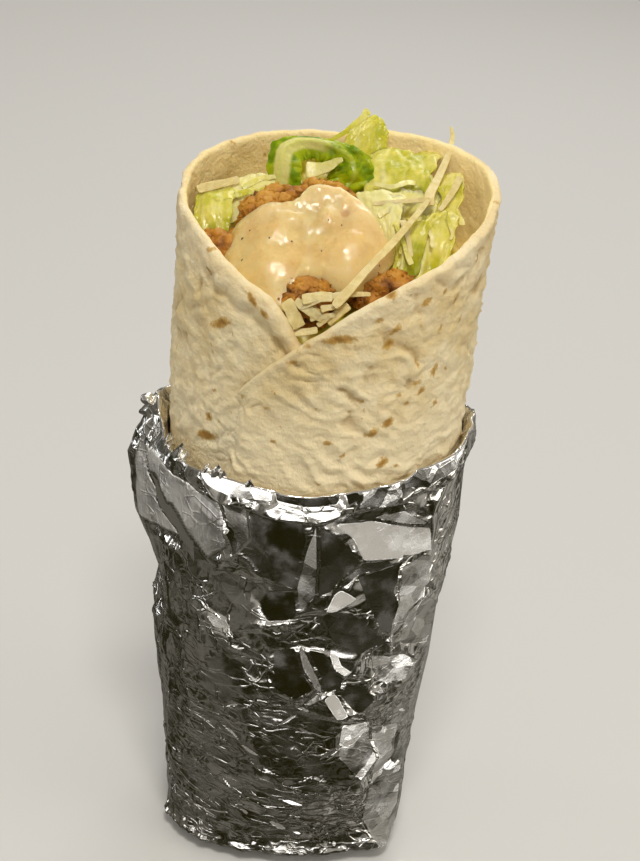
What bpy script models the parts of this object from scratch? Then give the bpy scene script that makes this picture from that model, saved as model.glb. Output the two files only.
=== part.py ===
# Chicken caesar wrap: a flour tortilla rolled into an open-topped tube round its filling,
# its lower two thirds in crumpled aluminium foil, standing on the folded foil end.
#
# Every shape function works in millimetres, and add_mesh scales to metres.
# Angles round the wrap are in degrees from the front (-Y), positive towards +X.
# The frame: +Z runs up the wrap, and the origin is the centre of its flat foil base.

import math
import random

import bmesh
import bpy
import numpy as np
from mathutils import Matrix, Vector, noise

MM = 0.001

# Driving dimensions, in millimetres
SHEET = 2.2                 # thickness of the tortilla
LAYER_LIFT = 1.3            # how far each of the two lapped layers leaves the plain wall
GAP = 0.35                  # clearance between pieces that touch
FOIL = 0.8                  # thickness of the crumpled, doubled foil
FOIL_SLACK = 0.6            # room between tortilla and foil
FOIL_CRUMPLE = 0.9          # how far a foil facet may stand out
BASE_CORNER = 5.0           # radius where the base turns up into the wall
END_FOLD = 8.5              # the tortilla's folded-in bottom end is this thick
SHRED_THICK = 1.0
LEAF_THICK = 1.1
LEAF_ROOT = 4.0             # how deep a leaf is rooted in the salad

# How finely the two large skins are divided
TORTILLA_COLUMNS = 56
TORTILLA_SHARES = (0, 0.15, 0.3, 0.55, 0.68, 0.76, 0.84, 0.92, 1.0)
FOIL_COLUMNS = 50
FOIL_INNER_ROWS = 7
FOIL_OUTER_ROWS = 20

# Height, half width and half depth of the wrap's outer wall
WALL_STATIONS = (
    (0.0, 29.5, 25.0), (8.0, 31.8, 27.2), (20.0, 33.2, 29.0), (35.0, 35.4, 31.6),
    (60.0, 37.4, 33.8), (120.0, 38.0, 34.4), (160.0, 38.6, 34.8), (205.0, 39.2, 35.2),
)
# Angle and height of the tortilla's rim: the left flap, lapped under, then the right flap, lapped over
LEFT_RIM = (
    (-180, 197), (-147, 197), (-115, 195.5), (-95, 192.5), (-77, 189.6), (-53, 186.0),
    (-36, 181.8), (-21, 178.0), (-14, 173.5), (-9, 167.0), (0, 163.0), (22, 158.0),
)
RIGHT_RIM = (
    (-55, 125.0), (-44, 138.0), (-36, 147.5), (-28, 154.7), (-19, 160.8), (-11, 166.4), (-1, 172.0),
    (7, 176.8), (15, 180.8), (25, 184.5), (35, 186.9), (45, 188.8), (56, 191.5), (71, 194.2), (84, 197.0),
    (103, 199.5), (135, 200.0), (164, 199.0), (180, 197.0),
)
LAP_START = 22              # the tortilla's hidden end, under the right flap
LAP_END = -55               # its outer end, on the left, where its edge passes under the foil
# Angle and height of the foil's top edge
FOIL_RIM = (
    (-180, 129), (-125, 129), (-104, 129.5), (-93, 132.5), (-82, 129.5), (-67, 127.5), (-40, 128.5), (0, 129),
    (30, 132.5), (62, 134), (74, 135), (86, 138.5), (97, 134), (120, 130), (180, 129),
)
# The foil's pinched seam on the left: its angle, and how far it stands out at each height
SEAM_ANGLE = -92
SEAM_BULGE = ((66, 0.0), (80, 1.0), (87, 2.6), (99, 5.6), (114, 8.2), (123, 6.2), (133, 4.4))

# The heap of chicken and dressing: front-to-back position and height of its crest
HEAP_PROFILE = (
    (-34, 168.0), (-28, 173.0), (-23, 179.5), (-17, 185.0), (-8, 189.5), (2, 192.0), (10, 192.0),
    (16, 189.5), (22, 184.0), (30, 178.0),
)
HEAP_CREST_X = -2.5
HEAP_HALF_WIDTH = 24.0
HEAP_FALL = 10.0            # how far the heap has dropped at its half width

# Diced chicken: centre and half sizes
CHICKEN = (
    ((-15.0, 1.5, 184.0), (8.8, 8.0, 7.2)),
    ((-3.5, 7.5, 185.8), (8.0, 7.5, 6.6)),
    ((-5.5, -21.0, 173.8), (7.5, 6.5, 6.2)),
    ((13.5, -16.5, 175.6), (8.0, 7.0, 5.6)),
    ((-26.5, -6.0, 177.0), (6.0, 6.5, 6.0)),
    ((4.5, -6.0, 183.0), (7.0, 7.0, 6.0)),
)
# Cheese shreds: one end, the other end, the upward bow of the middle, the lean in degrees and the width
SHREDS = (
    ((1.8, -30.2, 177.2), (20.8, -2.5, 193.0), 0.9, -35, 3.0),
    ((21.7, 3.0, 191.8), (27.6, 29.5, 202.4), -0.5, 40, 2.8),
    ((-34.4, 5.0, 188.6), (-19.4, 13.0, 190.4), 0.4, -40, 2.2),
    ((-6.1, -28.3, 178.4), (7.0, -26.0, 180.4), 0.5, -50, 3.2),
    ((-8.4, -29.4, 177.0), (-3.4, -30.4, 172.8), 0.2, -60, 2.8),
    ((-10.0, -30.4, 171.8), (-1.8, -30.8, 171.0), 0.2, -60, 2.2),
    ((16.2, -4.0, 189.2), (19.0, -13.5, 182.4), 0.4, 40, 1.7),
    ((24.4, -0.5, 191.0), (30.6, 12.0, 197.8), 0.3, 40, 3.0),
    ((9.6, 1.5, 191.6), (22.6, 5.5, 193.8), 0.4, -40, 2.2),
)
# Leaves that show: how much each ripples, then three rows of three points, from its foot up
LEAVES = (
    (0.5, ((-33.4, 0.0, 180.0), (-29.0, 1.6, 181.0), (-24.6, 2.0, 182.0)),
     ((-34.4, 3.5, 184.4), (-29.7, 3.2, 186.0), (-24.5, 4.0, 185.6)),
     ((-34.4, 8.5, 187.6), (-30.5, 9.0, 188.6), (-25.1, 11.0, 188.6))),
    (0.3, ((-25.3, 7.5, 181.5), (-19.6, 10.8, 182.5), (-13.8, 11.2, 183.0)),
     ((-25.2, 10.0, 186.0), (-20.4, 11.6, 188.0), (-14.0, 12.0, 189.0)),
     ((-25.4, 16.0, 189.2), (-20.4, 17.0, 190.2), (-13.9, 17.0, 191.4))),
    (0.3, ((-10.2, 16.5, 186.0), (-5.0, 16.5, 186.0), (0.5, 16.5, 187.0)),
     ((-10.1, 20.0, 191.5), (-5.1, 20.0, 192.5), (0.5, 20.0, 193.0)),
     ((-10.0, 23.0, 195.5), (-5.0, 23.0, 196.6), (0.7, 23.0, 196.6))),
    (0.4, ((2.7, 23.0, 188.4), (7.2, 23.0, 189.4), (11.2, 24.0, 191.0)),
     ((0.5, 28.0, 196.4), (5.6, 28.0, 198.0), (11.1, 28.0, 199.1)),
     ((1.5, 30.6, 201.1), (5.6, 30.8, 203.6), (10.6, 30.0, 202.0))),
    (0.6, ((7.1, 10.0, 188.0), (14.6, 8.0, 187.0), (22.0, 6.0, 188.0)),
     ((7.2, 20.0, 193.0), (14.8, 16.0, 194.2), (23.4, 14.0, 194.8)),
     ((7.4, 28.0, 194.9), (16.4, 27.0, 196.2), (25.3, 26.0, 196.9))),
    (0.5, ((20.9, 0.0, 187.0), (25.3, -1.0, 187.0), (29.6, 0.0, 188.4)),
     ((23.1, 10.0, 192.1), (27.0, 7.0, 193.1), (30.6, 6.0, 195.5)),
     ((25.5, 20.0, 194.9), (28.9, 18.0, 196.0), (31.2, 15.0, 197.4))),
    (0.6, ((14.0, -8.4, 181.0), (19.0, -8.8, 180.0), (24.6, -6.4, 182.0)),
     ((14.6, -6.5, 186.4), (19.5, -7.0, 186.4), (25.0, -4.6, 187.0)),
     ((15.3, -2.0, 191.4), (20.7, -2.0, 191.6), (27.0, 0.0, 191.8))),
    (0.4, ((9.5, 2.0, 186.0), (13.0, -1.0, 185.6), (16.6, -2.6, 186.6)),
     ((7.1, 3.0, 189.4), (12.0, 1.0, 189.9), (16.2, 0.0, 190.4)),
     ((4.7, 9.0, 191.4), (10.1, 6.6, 192.4), (16.5, 6.0, 193.0))),
    (0.5, ((14.0, 6.0, 187.6), (19.0, 3.0, 187.6), (24.0, 2.0, 188.6)),
     ((15.0, 11.0, 190.6), (20.0, 8.5, 190.9), (25.5, 7.0, 191.6)),
     ((15.5, 17.0, 192.0), (21.0, 15.0, 192.8), (27.0, 12.0, 193.2))),
)


def smoothstep(low, high, value):
    t = min(1.0, max(0.0, (value - low) / (high - low)))
    return t * t * (3 - 2 * t)


def read(stations, value, column=1):
    """The value of one column of a table at this height or angle."""
    return float(np.interp(value, [s[0] for s in stations], [s[column] for s in stations]))


def signed_power(value, power):
    return math.copysign(abs(value) ** power, value)


def corner_inset(height):
    """How far the rounded bottom edge stands in from the wall, this high above the base."""
    if height >= BASE_CORNER:
        return 0.0
    return BASE_CORNER - math.sqrt(BASE_CORNER**2 - (BASE_CORNER - max(height, 0.0)) ** 2)


def wall_point(angle, z, outward=0.0, above_base=None):
    """A point of the wrap's outer wall, moved outward. The section is squarer near the base."""
    inset = 0.0 if above_base is None else corner_inset(above_base)
    power = 2 / (2.6 - 0.6 * smoothstep(5, 60, z))
    s, c = math.sin(math.radians(angle)), math.cos(math.radians(angle))
    half_width = read(WALL_STATIONS, z, 1) + outward - inset
    half_depth = read(WALL_STATIONS, z, 2) + outward - inset
    return Vector((half_width * signed_power(s, power), -half_depth * signed_power(c, power), z))


def lap_lift(angle):
    """How far the outer flap stands out over the flap beneath it."""
    return LAYER_LIFT * (1 - smoothstep(24, 60, angle)) * smoothstep(-70, -57, angle)


def lap_sink(angle):
    """How far the left flap sinks in where the outer flap covers it."""
    return LAYER_LIFT * (1 - smoothstep(24, 60, angle)) * smoothstep(-88, -57, angle)


def clear_scene():
    for obj in list(bpy.data.objects):
        bpy.data.objects.remove(obj, do_unlink=True)


def make_material(name, colour, roughness, metallic=0.0):
    material = bpy.data.materials.new(name)
    material.use_nodes = True
    shader = material.node_tree.nodes["Principled BSDF"]
    shader.inputs["Base Color"].default_value = (*colour, 1.0)
    shader.inputs["Roughness"].default_value = roughness
    shader.inputs["Metallic"].default_value = metallic
    return material


def add_mesh(name, points, faces, collection, material=None):
    mesh = bpy.data.meshes.new(name)
    mesh.from_pydata([Vector(p) * MM for p in points], [], faces)
    obj = bpy.data.objects.new(name, mesh)
    collection.objects.link(obj)
    if material:
        mesh.materials.append(material)
    edit = bmesh.new()
    edit.from_mesh(mesh)
    bmesh.ops.recalc_face_normals(edit, faces=edit.faces)
    edit.to_mesh(mesh)
    edit.free()
    return obj


def grid_faces(rows, columns, closed=False):
    """Quads between rows of points. A closed grid also joins its last column to its first."""
    faces = []
    for r in range(rows - 1):
        for c in range(columns if closed else columns - 1):
            d = (c + 1) % columns
            faces.append((r * columns + c, r * columns + d, (r + 1) * columns + d, (r + 1) * columns + c))
    return faces


def add_loft(name, rings, collection, material=None, caps=(True, True)):
    """A skin through rings of equal length, with a flat or fanned cap at either end."""
    columns = len(rings[0])
    points = [p for ring in rings for p in ring]
    faces = grid_faces(len(rings), columns, closed=True)
    if caps[0]:
        faces.append(tuple(range(columns)))
    if caps[1]:
        start = (len(rings) - 1) * columns
        faces.append(tuple(range(start, start + columns)))
    return add_mesh(name, points, faces, collection, material)


def thicken(obj, thickness, offset):
    modifier = obj.modifiers.new("Thickness", "SOLIDIFY")
    modifier.thickness = thickness * MM
    modifier.offset = offset
    return obj


def triangulate(obj):
    edit = bmesh.new()
    edit.from_mesh(obj.data)
    bmesh.ops.triangulate(edit, faces=edit.faces)
    edit.to_mesh(obj.data)
    edit.free()


def bake_modifiers(obj):
    """Swaps the object's mesh for its evaluated one, so that it can be cut or grown."""
    bpy.context.view_layer.update()
    graph = bpy.context.evaluated_depsgraph_get()
    mesh = bpy.data.meshes.new_from_object(obj.evaluated_get(graph))
    obj.modifiers.clear()
    obj.data = mesh
    return obj


def grown_copy(obj, distance, collection):
    """A copy moved outward along its normals, which cuts a neighbour with that much clearance."""
    mesh = obj.data.copy()
    normals = [vertex.normal.copy() for vertex in mesh.vertices]
    for vertex, normal in zip(mesh.vertices, normals):
        vertex.co += normal * distance * MM
    cutter = bpy.data.objects.new(obj.name + "_cutter", mesh)
    collection.objects.link(cutter)
    cutter.hide_render = True
    cutter.display_type = "WIRE"
    return cutter


def keep_largest(obj):
    """Drops the loose scraps that a cut leaves."""
    edit = bmesh.new()
    edit.from_mesh(obj.data)
    bmesh.ops.remove_doubles(edit, verts=edit.verts, dist=0.0005 * MM)
    unseen = set(edit.verts)
    islands = []
    while unseen:
        island, front = set(), [unseen.pop()]
        while front:
            vertex = front.pop()
            island.add(vertex)
            for edge in vertex.link_edges:
                other = edge.other_vert(vertex)
                if other in unseen:
                    unseen.remove(other)
                    front.append(other)
        islands.append(island)
    islands.sort(key=len)
    for island in islands[:-1]:
        bmesh.ops.delete(edit, geom=list(island), context="VERTS")
    edit.to_mesh(obj.data)
    edit.free()


def combine(obj, others, operation):
    """One Boolean on a collection of the others, applied, with the others then removed."""
    tools = bpy.data.collections.new(obj.name + "_tools")
    bpy.context.scene.collection.children.link(tools)
    for other in others:
        for owner in list(other.users_collection):
            owner.objects.unlink(other)
        tools.objects.link(other)
    modifier = obj.modifiers.new(operation.title(), "BOOLEAN")
    modifier.operation = operation
    modifier.solver = "EXACT"
    modifier.operand_type = "COLLECTION"
    modifier.collection = tools
    bake_modifiers(obj)
    for other in others:
        bpy.data.objects.remove(other, do_unlink=True)
    bpy.data.collections.remove(tools)
    keep_largest(obj)
    return obj


def cut_clear(obj, neighbours, collection, distance=GAP):
    """Cuts the object back so that it clears its neighbours."""
    return combine(obj, [grown_copy(n, distance, collection) for n in neighbours], "DIFFERENCE")


# The tortilla

def rim_height(angle, outer_pass):
    return read(RIGHT_RIM if outer_pass else LEFT_RIM, angle)


def strip_column(turn, shares):
    """One upright line of the rolled sheet, this many degrees along it from its hidden end."""
    angle = LAP_START - turn
    outer_pass = angle < -180
    if outer_pass:
        angle += 360
    lift = lap_lift(angle) if outer_pass else -lap_sink(angle)
    top = rim_height(angle, outer_pass)
    low = BASE_CORNER + 1.5
    return [
        wall_point(angle, low + (top - low) * share, lift - SHEET / 2) for share in shares
    ]


def make_tortilla(collection, material):
    turns = LAP_START + 360 - LAP_END
    steps = [turns * i / (TORTILLA_COLUMNS - 1) for i in range(TORTILLA_COLUMNS)]
    lines = [strip_column(turn, TORTILLA_SHARES) for turn in steps]
    points = [line[row] for row in range(len(TORTILLA_SHARES)) for line in lines]
    faces = grid_faces(len(TORTILLA_SHARES), TORTILLA_COLUMNS)
    tortilla = add_mesh("tortilla", points, faces, collection, material)
    relief(tortilla, 0.35, 9.0)
    thicken(tortilla, SHEET, 0)
    bake_modifiers(tortilla)
    combine(tortilla, [make_end_fold(collection)], "UNION")
    tortilla.data.shade_smooth()
    tortilla.data.set_sharp_from_angle(angle=math.radians(50))
    return tortilla


def relief(obj, depth, size):
    """Shallow blisters and dents, from smooth noise, on the part of the sheet that shows."""
    mesh = obj.data
    normals = [vertex.normal.copy() for vertex in mesh.vertices]
    for vertex, normal in zip(mesh.vertices, normals):
        shown = smoothstep(0.131, 0.142, vertex.co.z)
        vertex.co += normal * noise.noise(vertex.co / (size * MM)) * depth * MM * shown


def make_end_fold(collection):
    """The bottom end, folded in on itself: a thick plug that closes the tube."""
    bottom = FOIL + 0.8
    steps = (0.0, 0.8, 2.4, BASE_CORNER, END_FOLD)
    angles = [i * 9 for i in range(40)]
    rings = [
        [
            wall_point(a, bottom + h, lap_lift((a + 180) % 360 - 180), above_base=h)
            for a in angles
        ]
        for h in steps
    ]
    return add_loft("end_fold", rings, collection)


# The foil

def seam_bulge(angle, z):
    """How far the pinched seam stands out. It is narrower at the top, where the foil is gathered."""
    width = 15 - 5 * smoothstep(105, 132, z)
    return read(SEAM_BULGE, z) * math.exp(-(((angle - SEAM_ANGLE) / width) ** 2))


def corner_ear(angle, z):
    """The folded corner at the front right of the foil's bottom end."""
    return 4.0 * math.exp(-(((angle - 48) / 13) ** 2)) * (1 - smoothstep(2, 17, z))


def top_band(z, rim):
    """The doubled band along the top edge."""
    return 0.7 * smoothstep(rim - 8.0, rim - 5.5, z)


def foil_inside(angle, height):
    """The foil's inner surface, this high above its floor."""
    return wall_point(angle, FOIL + height, FOIL_SLACK + lap_lift(angle), above_base=height)


def foil_outside(angle, z, rim, crumple):
    outward = FOIL_SLACK + FOIL + lap_lift(angle) + crumple
    outward += seam_bulge(angle, z) + corner_ear(angle, z) + top_band(z, rim)
    return wall_point(angle, z, outward, above_base=z)


def make_foil(collection, material):
    rng = random.Random(7)
    angles = [-180 + 360 * i / FOIL_COLUMNS for i in range(FOIL_COLUMNS)]
    rims = [read(FOIL_RIM, a) for a in angles]
    base_steps = (0.0, 0.5, 1.8, BASE_CORNER)

    rings = [[foil_inside(a, h) for a in angles] for h in base_steps]
    for i in range(1, FOIL_INNER_ROWS + 1):
        share = i / FOIL_INNER_ROWS
        ring = []
        for a, rim in zip(angles, rims):
            top = rim - 0.5 * seam_bulge(a, rim) - FOIL
            ring.append(foil_inside(a, BASE_CORNER + (top - BASE_CORNER) * share))
        rings.append(ring)
    for i in range(FOIL_OUTER_ROWS, 0, -1):
        share = i / FOIL_OUTER_ROWS
        ring = []
        for a, rim in zip(angles, rims):
            z = BASE_CORNER + (rim - BASE_CORNER) * share
            crumple = FOIL_CRUMPLE * rng.random() * (1.4 if a < -60 or a > 110 else 1.0)
            ring.append(foil_outside(a + rng.uniform(-1.2, 1.2), z, rim, crumple))
        rings.append(ring)
    rings += [[foil_outside(a, h, 130, 0.0) for a in angles] for h in reversed(base_steps)]
    foil = add_loft("foil", rings, collection, material)
    triangulate(foil)
    return foil


# The filling

def inner_wall(angle, z, inward):
    """A point just inside the rolled tortilla."""
    return wall_point(angle, z, -SHEET - lap_sink(angle) - inward)


def core_top(x, y):
    """The salad's surface, which falls towards the notch at the front."""
    bumps = 1.6 * noise.noise(Vector((x / 9, y / 9, 3.1)))
    return min(184.0, max(166.0, 175.0 + 0.32 * y)) + bumps


def make_core(collection, material):
    angles = [-180 + 12 * i for i in range(30)]
    floor = FOIL + 0.8 + END_FOLD + GAP
    rings = [[inner_wall(a, z, 0.7) for a in angles] for z in (floor, 60, 120, 150)]
    edge = [inner_wall(a, 172, 0.7) for a in angles]
    for share in (1.0, 0.82, 0.55, 0.25):
        ring = []
        for p in edge:
            x, y = p.x * share, p.y * share
            ring.append(Vector((x, y, core_top(x, y) - 2.0 * smoothstep(0.8, 1.0, share))))
        rings.append(ring)
    return add_loft("lettuce", rings, collection, material)


def bend_net(net, u, v):
    """A point of the smooth sheet through three rows of three points."""
    def weights(t):
        return (2 * t - 1) * (t - 1), 4 * t * (1 - t), t * (2 * t - 1)

    point = Vector((0, 0, 0))
    for row, a in zip(net, weights(v)):
        for place, b in zip(row, weights(u)):
            point += Vector(place) * a * b
    return point


def add_leaf(name, ripple, *net, seed, collection):
    """A crinkled leaf with a ragged top edge, its foot carried down into the salad's core."""
    rng = random.Random(seed)
    columns = (0.0, 0.25, 0.5, 0.75, 1.0)
    rows = (0.0, 0.5, 1.0)
    feet = [bend_net(net, u, 0.0) for u in columns]
    points = [Vector((p.x, p.y, core_top(p.x, p.y) - LEAF_ROOT)) for p in feet]
    across = Vector(net[1][2]) - Vector(net[1][0])
    up = Vector(net[2][1]) - Vector(net[0][1])
    out = across.cross(up).normalized()
    for v in rows:
        for u in columns:
            ragged = 0.06 * rng.uniform(-1, 1) * v
            wave = ripple * v * rng.uniform(-1, 1)
            points.append(bend_net(net, u, v + ragged) + out * wave)
    leaf = add_mesh(name, points, grid_faces(len(rows) + 1, len(columns)), collection)
    triangulate(leaf)
    thicken(leaf, LEAF_THICK, 0)
    return bake_modifiers(leaf)


def make_lettuce(collection, material, walls, pieces):
    """The salad: a core that runs down through the wrap, with the leaves that show fused on."""
    lettuce = make_core(collection, material)
    for seed, leaf in enumerate(LEAVES, 3):
        combine(lettuce, [add_leaf(f"leaf_{seed}", *leaf, seed=seed, collection=collection)], "UNION")
    for piece in walls + pieces:
        cut_clear(lettuce, [piece], collection)
    return lettuce


def add_chicken(number, centre, half_sizes, collection, material):
    """A piece of diced chicken with a knobbly browned crust."""
    mesh = bpy.data.meshes.new(f"chicken_{number}")
    edit = bmesh.new()
    bmesh.ops.create_icosphere(edit, subdivisions=3, radius=1.0)
    for vertex in edit.verts:
        direction = vertex.co.normalized()
        squarer = direction * (1 / max(abs(direction.x), abs(direction.y), abs(direction.z))) ** 0.35
        knobs = 1 + 0.16 * noise.noise(direction * 2.6 + Vector((number * 7.3, 0, 0)))
        size = Vector((squarer.x * half_sizes[0], squarer.y * half_sizes[1], squarer.z * half_sizes[2]))
        vertex.co = size * knobs * MM
    edit.to_mesh(mesh)
    edit.free()
    mesh.transform(Matrix.Translation(Vector(centre) * MM))
    mesh.materials.append(material)
    obj = bpy.data.objects.new(mesh.name, mesh)
    collection.objects.link(obj)
    return obj


def make_chicken(collection, material, walls):
    pieces = []
    for number, (centre, half_sizes) in enumerate(CHICKEN, 1):
        piece = add_chicken(number, centre, half_sizes, collection, material)
        cut_clear(piece, walls + pieces, collection)
        pieces.append(piece)
    return pieces


def heap_height(x, y):
    """The height of the heap's surface at a place on the plan."""
    return read(HEAP_PROFILE, y) - HEAP_FALL * (abs(x - HEAP_CREST_X) / HEAP_HALF_WIDTH) ** 3


# The dressing's outline: angle about its centre (0 to the front, positive towards +X) and reach
DRESSING_CENTRE = (-6.0, -12.0)
DRESSING_REACH = (
    (-180, 12.6), (-172, 11.4), (-162, 8.9), (-146, 8.5), (-136, 12.0), (-126, 15.6), (-117, 19.6),
    (-97, 20.8), (-81, 18.8), (-57, 17.2), (-38, 17.2), (-22, 17.9), (-14, 17.4), (-9, 10.6), (0, 9.3),
    (9, 9.5), (24, 10.6), (35, 13.3), (48, 16.9), (61, 18.6), (79, 20.2), (91, 21.0), (99, 18.8),
    (108, 16.8), (131, 15.6), (149, 15.2), (168, 13.8), (180, 12.6),
)
DRESSING_ABOVE = 1.0        # how far the pour stands over the heap's surface
DRESSING_BELOW = 2.6        # and how far it reaches down between the pieces


def make_dressing(collection, material, pieces):
    """A thick pour of dressing that drapes over the chicken and ends in a rounded lip."""
    angles = [-180 + 10 * i for i in range(36)]
    shares = (0.14, 0.40, 0.64, 0.84, 0.96)
    over, under = [], []
    for share in shares:
        lip = 0.9 * smoothstep(0.8, 1.0, share)
        top, low = [], []
        for a in angles:
            reach = read(DRESSING_REACH, a) * share
            x = DRESSING_CENTRE[0] + reach * math.sin(math.radians(a))
            y = DRESSING_CENTRE[1] - reach * math.cos(math.radians(a))
            height = heap_height(x, y)
            top.append(Vector((x, y, height + DRESSING_ABOVE - lip)))
            low.append(Vector((x, y, height - DRESSING_BELOW + lip)))
        over.append(top)
        under.append(low)
    dressing = add_loft("dressing", over + under[::-1], collection, material)
    return cut_clear(dressing, pieces, collection)


# The curled romaine slice: along it, a point of the rib, of the outer edge and of the inner edge
CURL_STATIONS = (
    ((-14.8, 11.4, 182.5), (-17.2, 12.4, 183.0), (-10.6, 10.6, 183.5)),
    ((-14.8, 12.0, 188.5), (-17.7, 13.0, 189.0), (-10.3, 11.0, 189.0)),
    ((-14.7, 13.5, 194.0), (-18.4, 14.5, 194.0), (-10.4, 12.5, 194.2)),
    ((-14.4, 15.0, 197.2), (-17.6, 16.0, 198.6), (-10.6, 14.0, 196.2)),
    ((-12.3, 16.5, 199.0), (-14.0, 17.5, 200.4), (-9.7, 15.0, 196.2)),
    ((-9.3, 17.5, 199.6), (-9.9, 18.5, 200.4), (-7.9, 16.0, 196.2)),
    ((-5.5, 17.5, 199.6), (-5.1, 18.5, 200.4), (-5.3, 16.0, 196.2)),
    ((-1.4, 17.0, 199.0), (0.2, 18.0, 200.2), (-3.0, 15.5, 195.9)),
    ((2.6, 16.0, 197.6), (5.2, 17.0, 198.8), (-0.9, 14.5, 195.4)),
    ((4.6, 15.0, 195.0), (8.4, 16.0, 195.4), (-0.2, 13.5, 194.2)),
    ((4.0, 14.0, 192.2), (7.6, 15.0, 191.4), (-0.6, 12.5, 192.4)),
    ((2.0, 13.0, 189.4), (4.4, 14.0, 188.0), (-0.9, 12.0, 190.0)),
)
CURL_THICK = 1.6


def make_romaine(collection, material, neighbours):
    """A bright green slice across a romaine leaf, standing in a loose arch behind the chicken."""
    rows = (-1.0, -0.4, 0.4, 1.0)
    frill = 0.5
    points = []
    for row in rows:
        for i, (rib, outer, inner) in enumerate(CURL_STATIONS):
            edge = outer if row < 0 else inner
            wave = Vector((0, frill * math.sin(2.1 * i), 0)) * abs(row)
            points.append(Vector(rib).lerp(Vector(edge), abs(row)) + wave)
    romaine = add_mesh("romaine", points, grid_faces(len(rows), len(CURL_STATIONS)), collection, material)
    triangulate(romaine)
    thicken(romaine, CURL_THICK, 0)
    bake_modifiers(romaine)
    return cut_clear(romaine, neighbours, collection)


def make_shreds(collection, material, neighbours):
    """Long strips of shredded cheese, one object each."""
    made = []
    for number, (start, end, bow, lean, width) in enumerate(SHREDS, 1):
        start, end = Vector(start), Vector(end)
        along = (end - start).normalized()
        flat = along.cross(Vector((0, 0, 1))).normalized()
        flat = Matrix.Rotation(math.radians(lean), 3, along) @ flat
        normal = flat.cross(along)
        steps = 6
        rings = []
        for i in range(steps + 1):
            t = i / steps
            middle = start.lerp(end, t) + Vector((0, 0, bow * 4 * t * (1 - t)))
            half = width / 2 * (0.75 + 0.25 * math.sin(math.pi * t))
            rings.append([
                middle + flat * half * a + normal * SHRED_THICK / 2 * b
                for a, b in ((-1, -1), (1, -1), (1, 1), (-1, 1))
            ])
        shred = add_loft(f"shred_{number}", rings, collection, material)
        cut_clear(shred, neighbours + made, collection)
        made.append(shred)
    return made


def main():
    clear_scene()
    parts = bpy.data.collections.new("chicken_caesar_wrap")
    bpy.context.scene.collection.children.link(parts)

    flour = make_material("tortilla", (0.80, 0.70, 0.50), 0.75)
    metal = make_material("foil", (0.80, 0.80, 0.79), 0.25, 1.0)
    salad = make_material("lettuce", (0.66, 0.70, 0.25), 0.45)
    meat = make_material("chicken", (0.55, 0.27, 0.09), 0.60)
    sauce = make_material("dressing", (0.80, 0.60, 0.36), 0.25)
    green = make_material("romaine", (0.28, 0.52, 0.03), 0.35)
    cheese = make_material("cheese", (0.86, 0.76, 0.52), 0.55)

    tortilla = make_tortilla(parts, flour)
    make_foil(parts, metal)
    chicken = make_chicken(parts, meat, [tortilla])
    dressing = make_dressing(parts, sauce, [tortilla] + chicken)
    romaine = make_romaine(parts, green, [tortilla, dressing] + chicken)
    shreds = make_shreds(parts, cheese, [tortilla, dressing, romaine] + chicken)
    make_lettuce(parts, salad, [tortilla], chicken + [dressing, romaine] + shreds)


main()
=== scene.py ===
import math
import random

import bmesh
import bpy
import numpy as np
from mathutils import Matrix, Vector
from mathutils.geometry import delaunay_2d_cdt


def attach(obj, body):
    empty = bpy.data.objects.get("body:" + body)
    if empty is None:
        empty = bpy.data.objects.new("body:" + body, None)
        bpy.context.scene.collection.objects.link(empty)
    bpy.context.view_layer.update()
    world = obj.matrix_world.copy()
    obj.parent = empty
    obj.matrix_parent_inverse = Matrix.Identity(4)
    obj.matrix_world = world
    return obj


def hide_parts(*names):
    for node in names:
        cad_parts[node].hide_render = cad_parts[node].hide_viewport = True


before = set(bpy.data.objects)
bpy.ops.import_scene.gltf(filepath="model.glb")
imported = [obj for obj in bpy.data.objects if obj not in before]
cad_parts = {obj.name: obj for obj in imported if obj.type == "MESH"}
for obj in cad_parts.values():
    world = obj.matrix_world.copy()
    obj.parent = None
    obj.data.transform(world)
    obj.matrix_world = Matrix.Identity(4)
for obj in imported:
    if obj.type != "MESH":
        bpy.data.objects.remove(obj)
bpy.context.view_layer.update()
mm = 0.001
print("frame loaded")

wrap = {
    "wall": (                      # height, half width, half depth of the rolled tube
        (0, 29.5, 25), (8, 31.8, 27.2), (20, 33.2, 29), (35, 35.4, 31.6), (60, 37.4, 33.8),
        (120, 38, 34.4), (160, 38.6, 34.8), (205, 39.2, 35.2),
    ),
    "corner": 5.0,                 # radius where the base turns up into the wall
    "millimetresPerDegree": 0.634, # along the wall
    "layerLift": 1.3,              # how far each of the two lapped layers leaves the plain wall
    "lapStart": 22,                # the angles of the sheet's inner and outer ends
    "lapEnd": -55,
    "lapFade": (24, 60),           # where that lift dies away, on the right
    "outerRise": (-70, -57),       # and where it starts on the left, for the outer layer
    "innerRise": (-88, -57),       # and for the one beneath
}
perDegree = wrap["millimetresPerDegree"]


# Number helpers

def smoothStep(low, high, value):
    t = np.clip((np.asarray(value, float) - low) / (high - low), 0, 1)
    return t * t * (3 - 2 * t)


def readTable(table, value, column=1):
    table = np.array(table, float)
    return np.interp(value, table[:, 0], table[:, column])


def readSoftly(table, value, reach):     # the same, with the corners rounded
    value = np.asarray(value, float)
    steps = ((-1.0, 0.1), (-0.6, 0.2), (0.0, 0.4), (0.6, 0.2), (1.0, 0.1))
    return sum(share * readTable(table, value + reach * step) for step, share in steps)


def hump(value, centre, width):
    return np.exp(-(((value - centre) / width) ** 2))


def hashed(i, j, k, seed):               # a repeatable random share for each lattice point
    mixed = (i * 374761393 + j * 668265263 + k * 2147483647 + seed * 974634777) & 0xFFFFFFFF
    mixed = ((mixed ^ (mixed >> 13)) * 1274126177) & 0xFFFFFFFF
    return ((mixed ^ (mixed >> 16)) & 0xFFFF) / 65536.0


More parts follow.
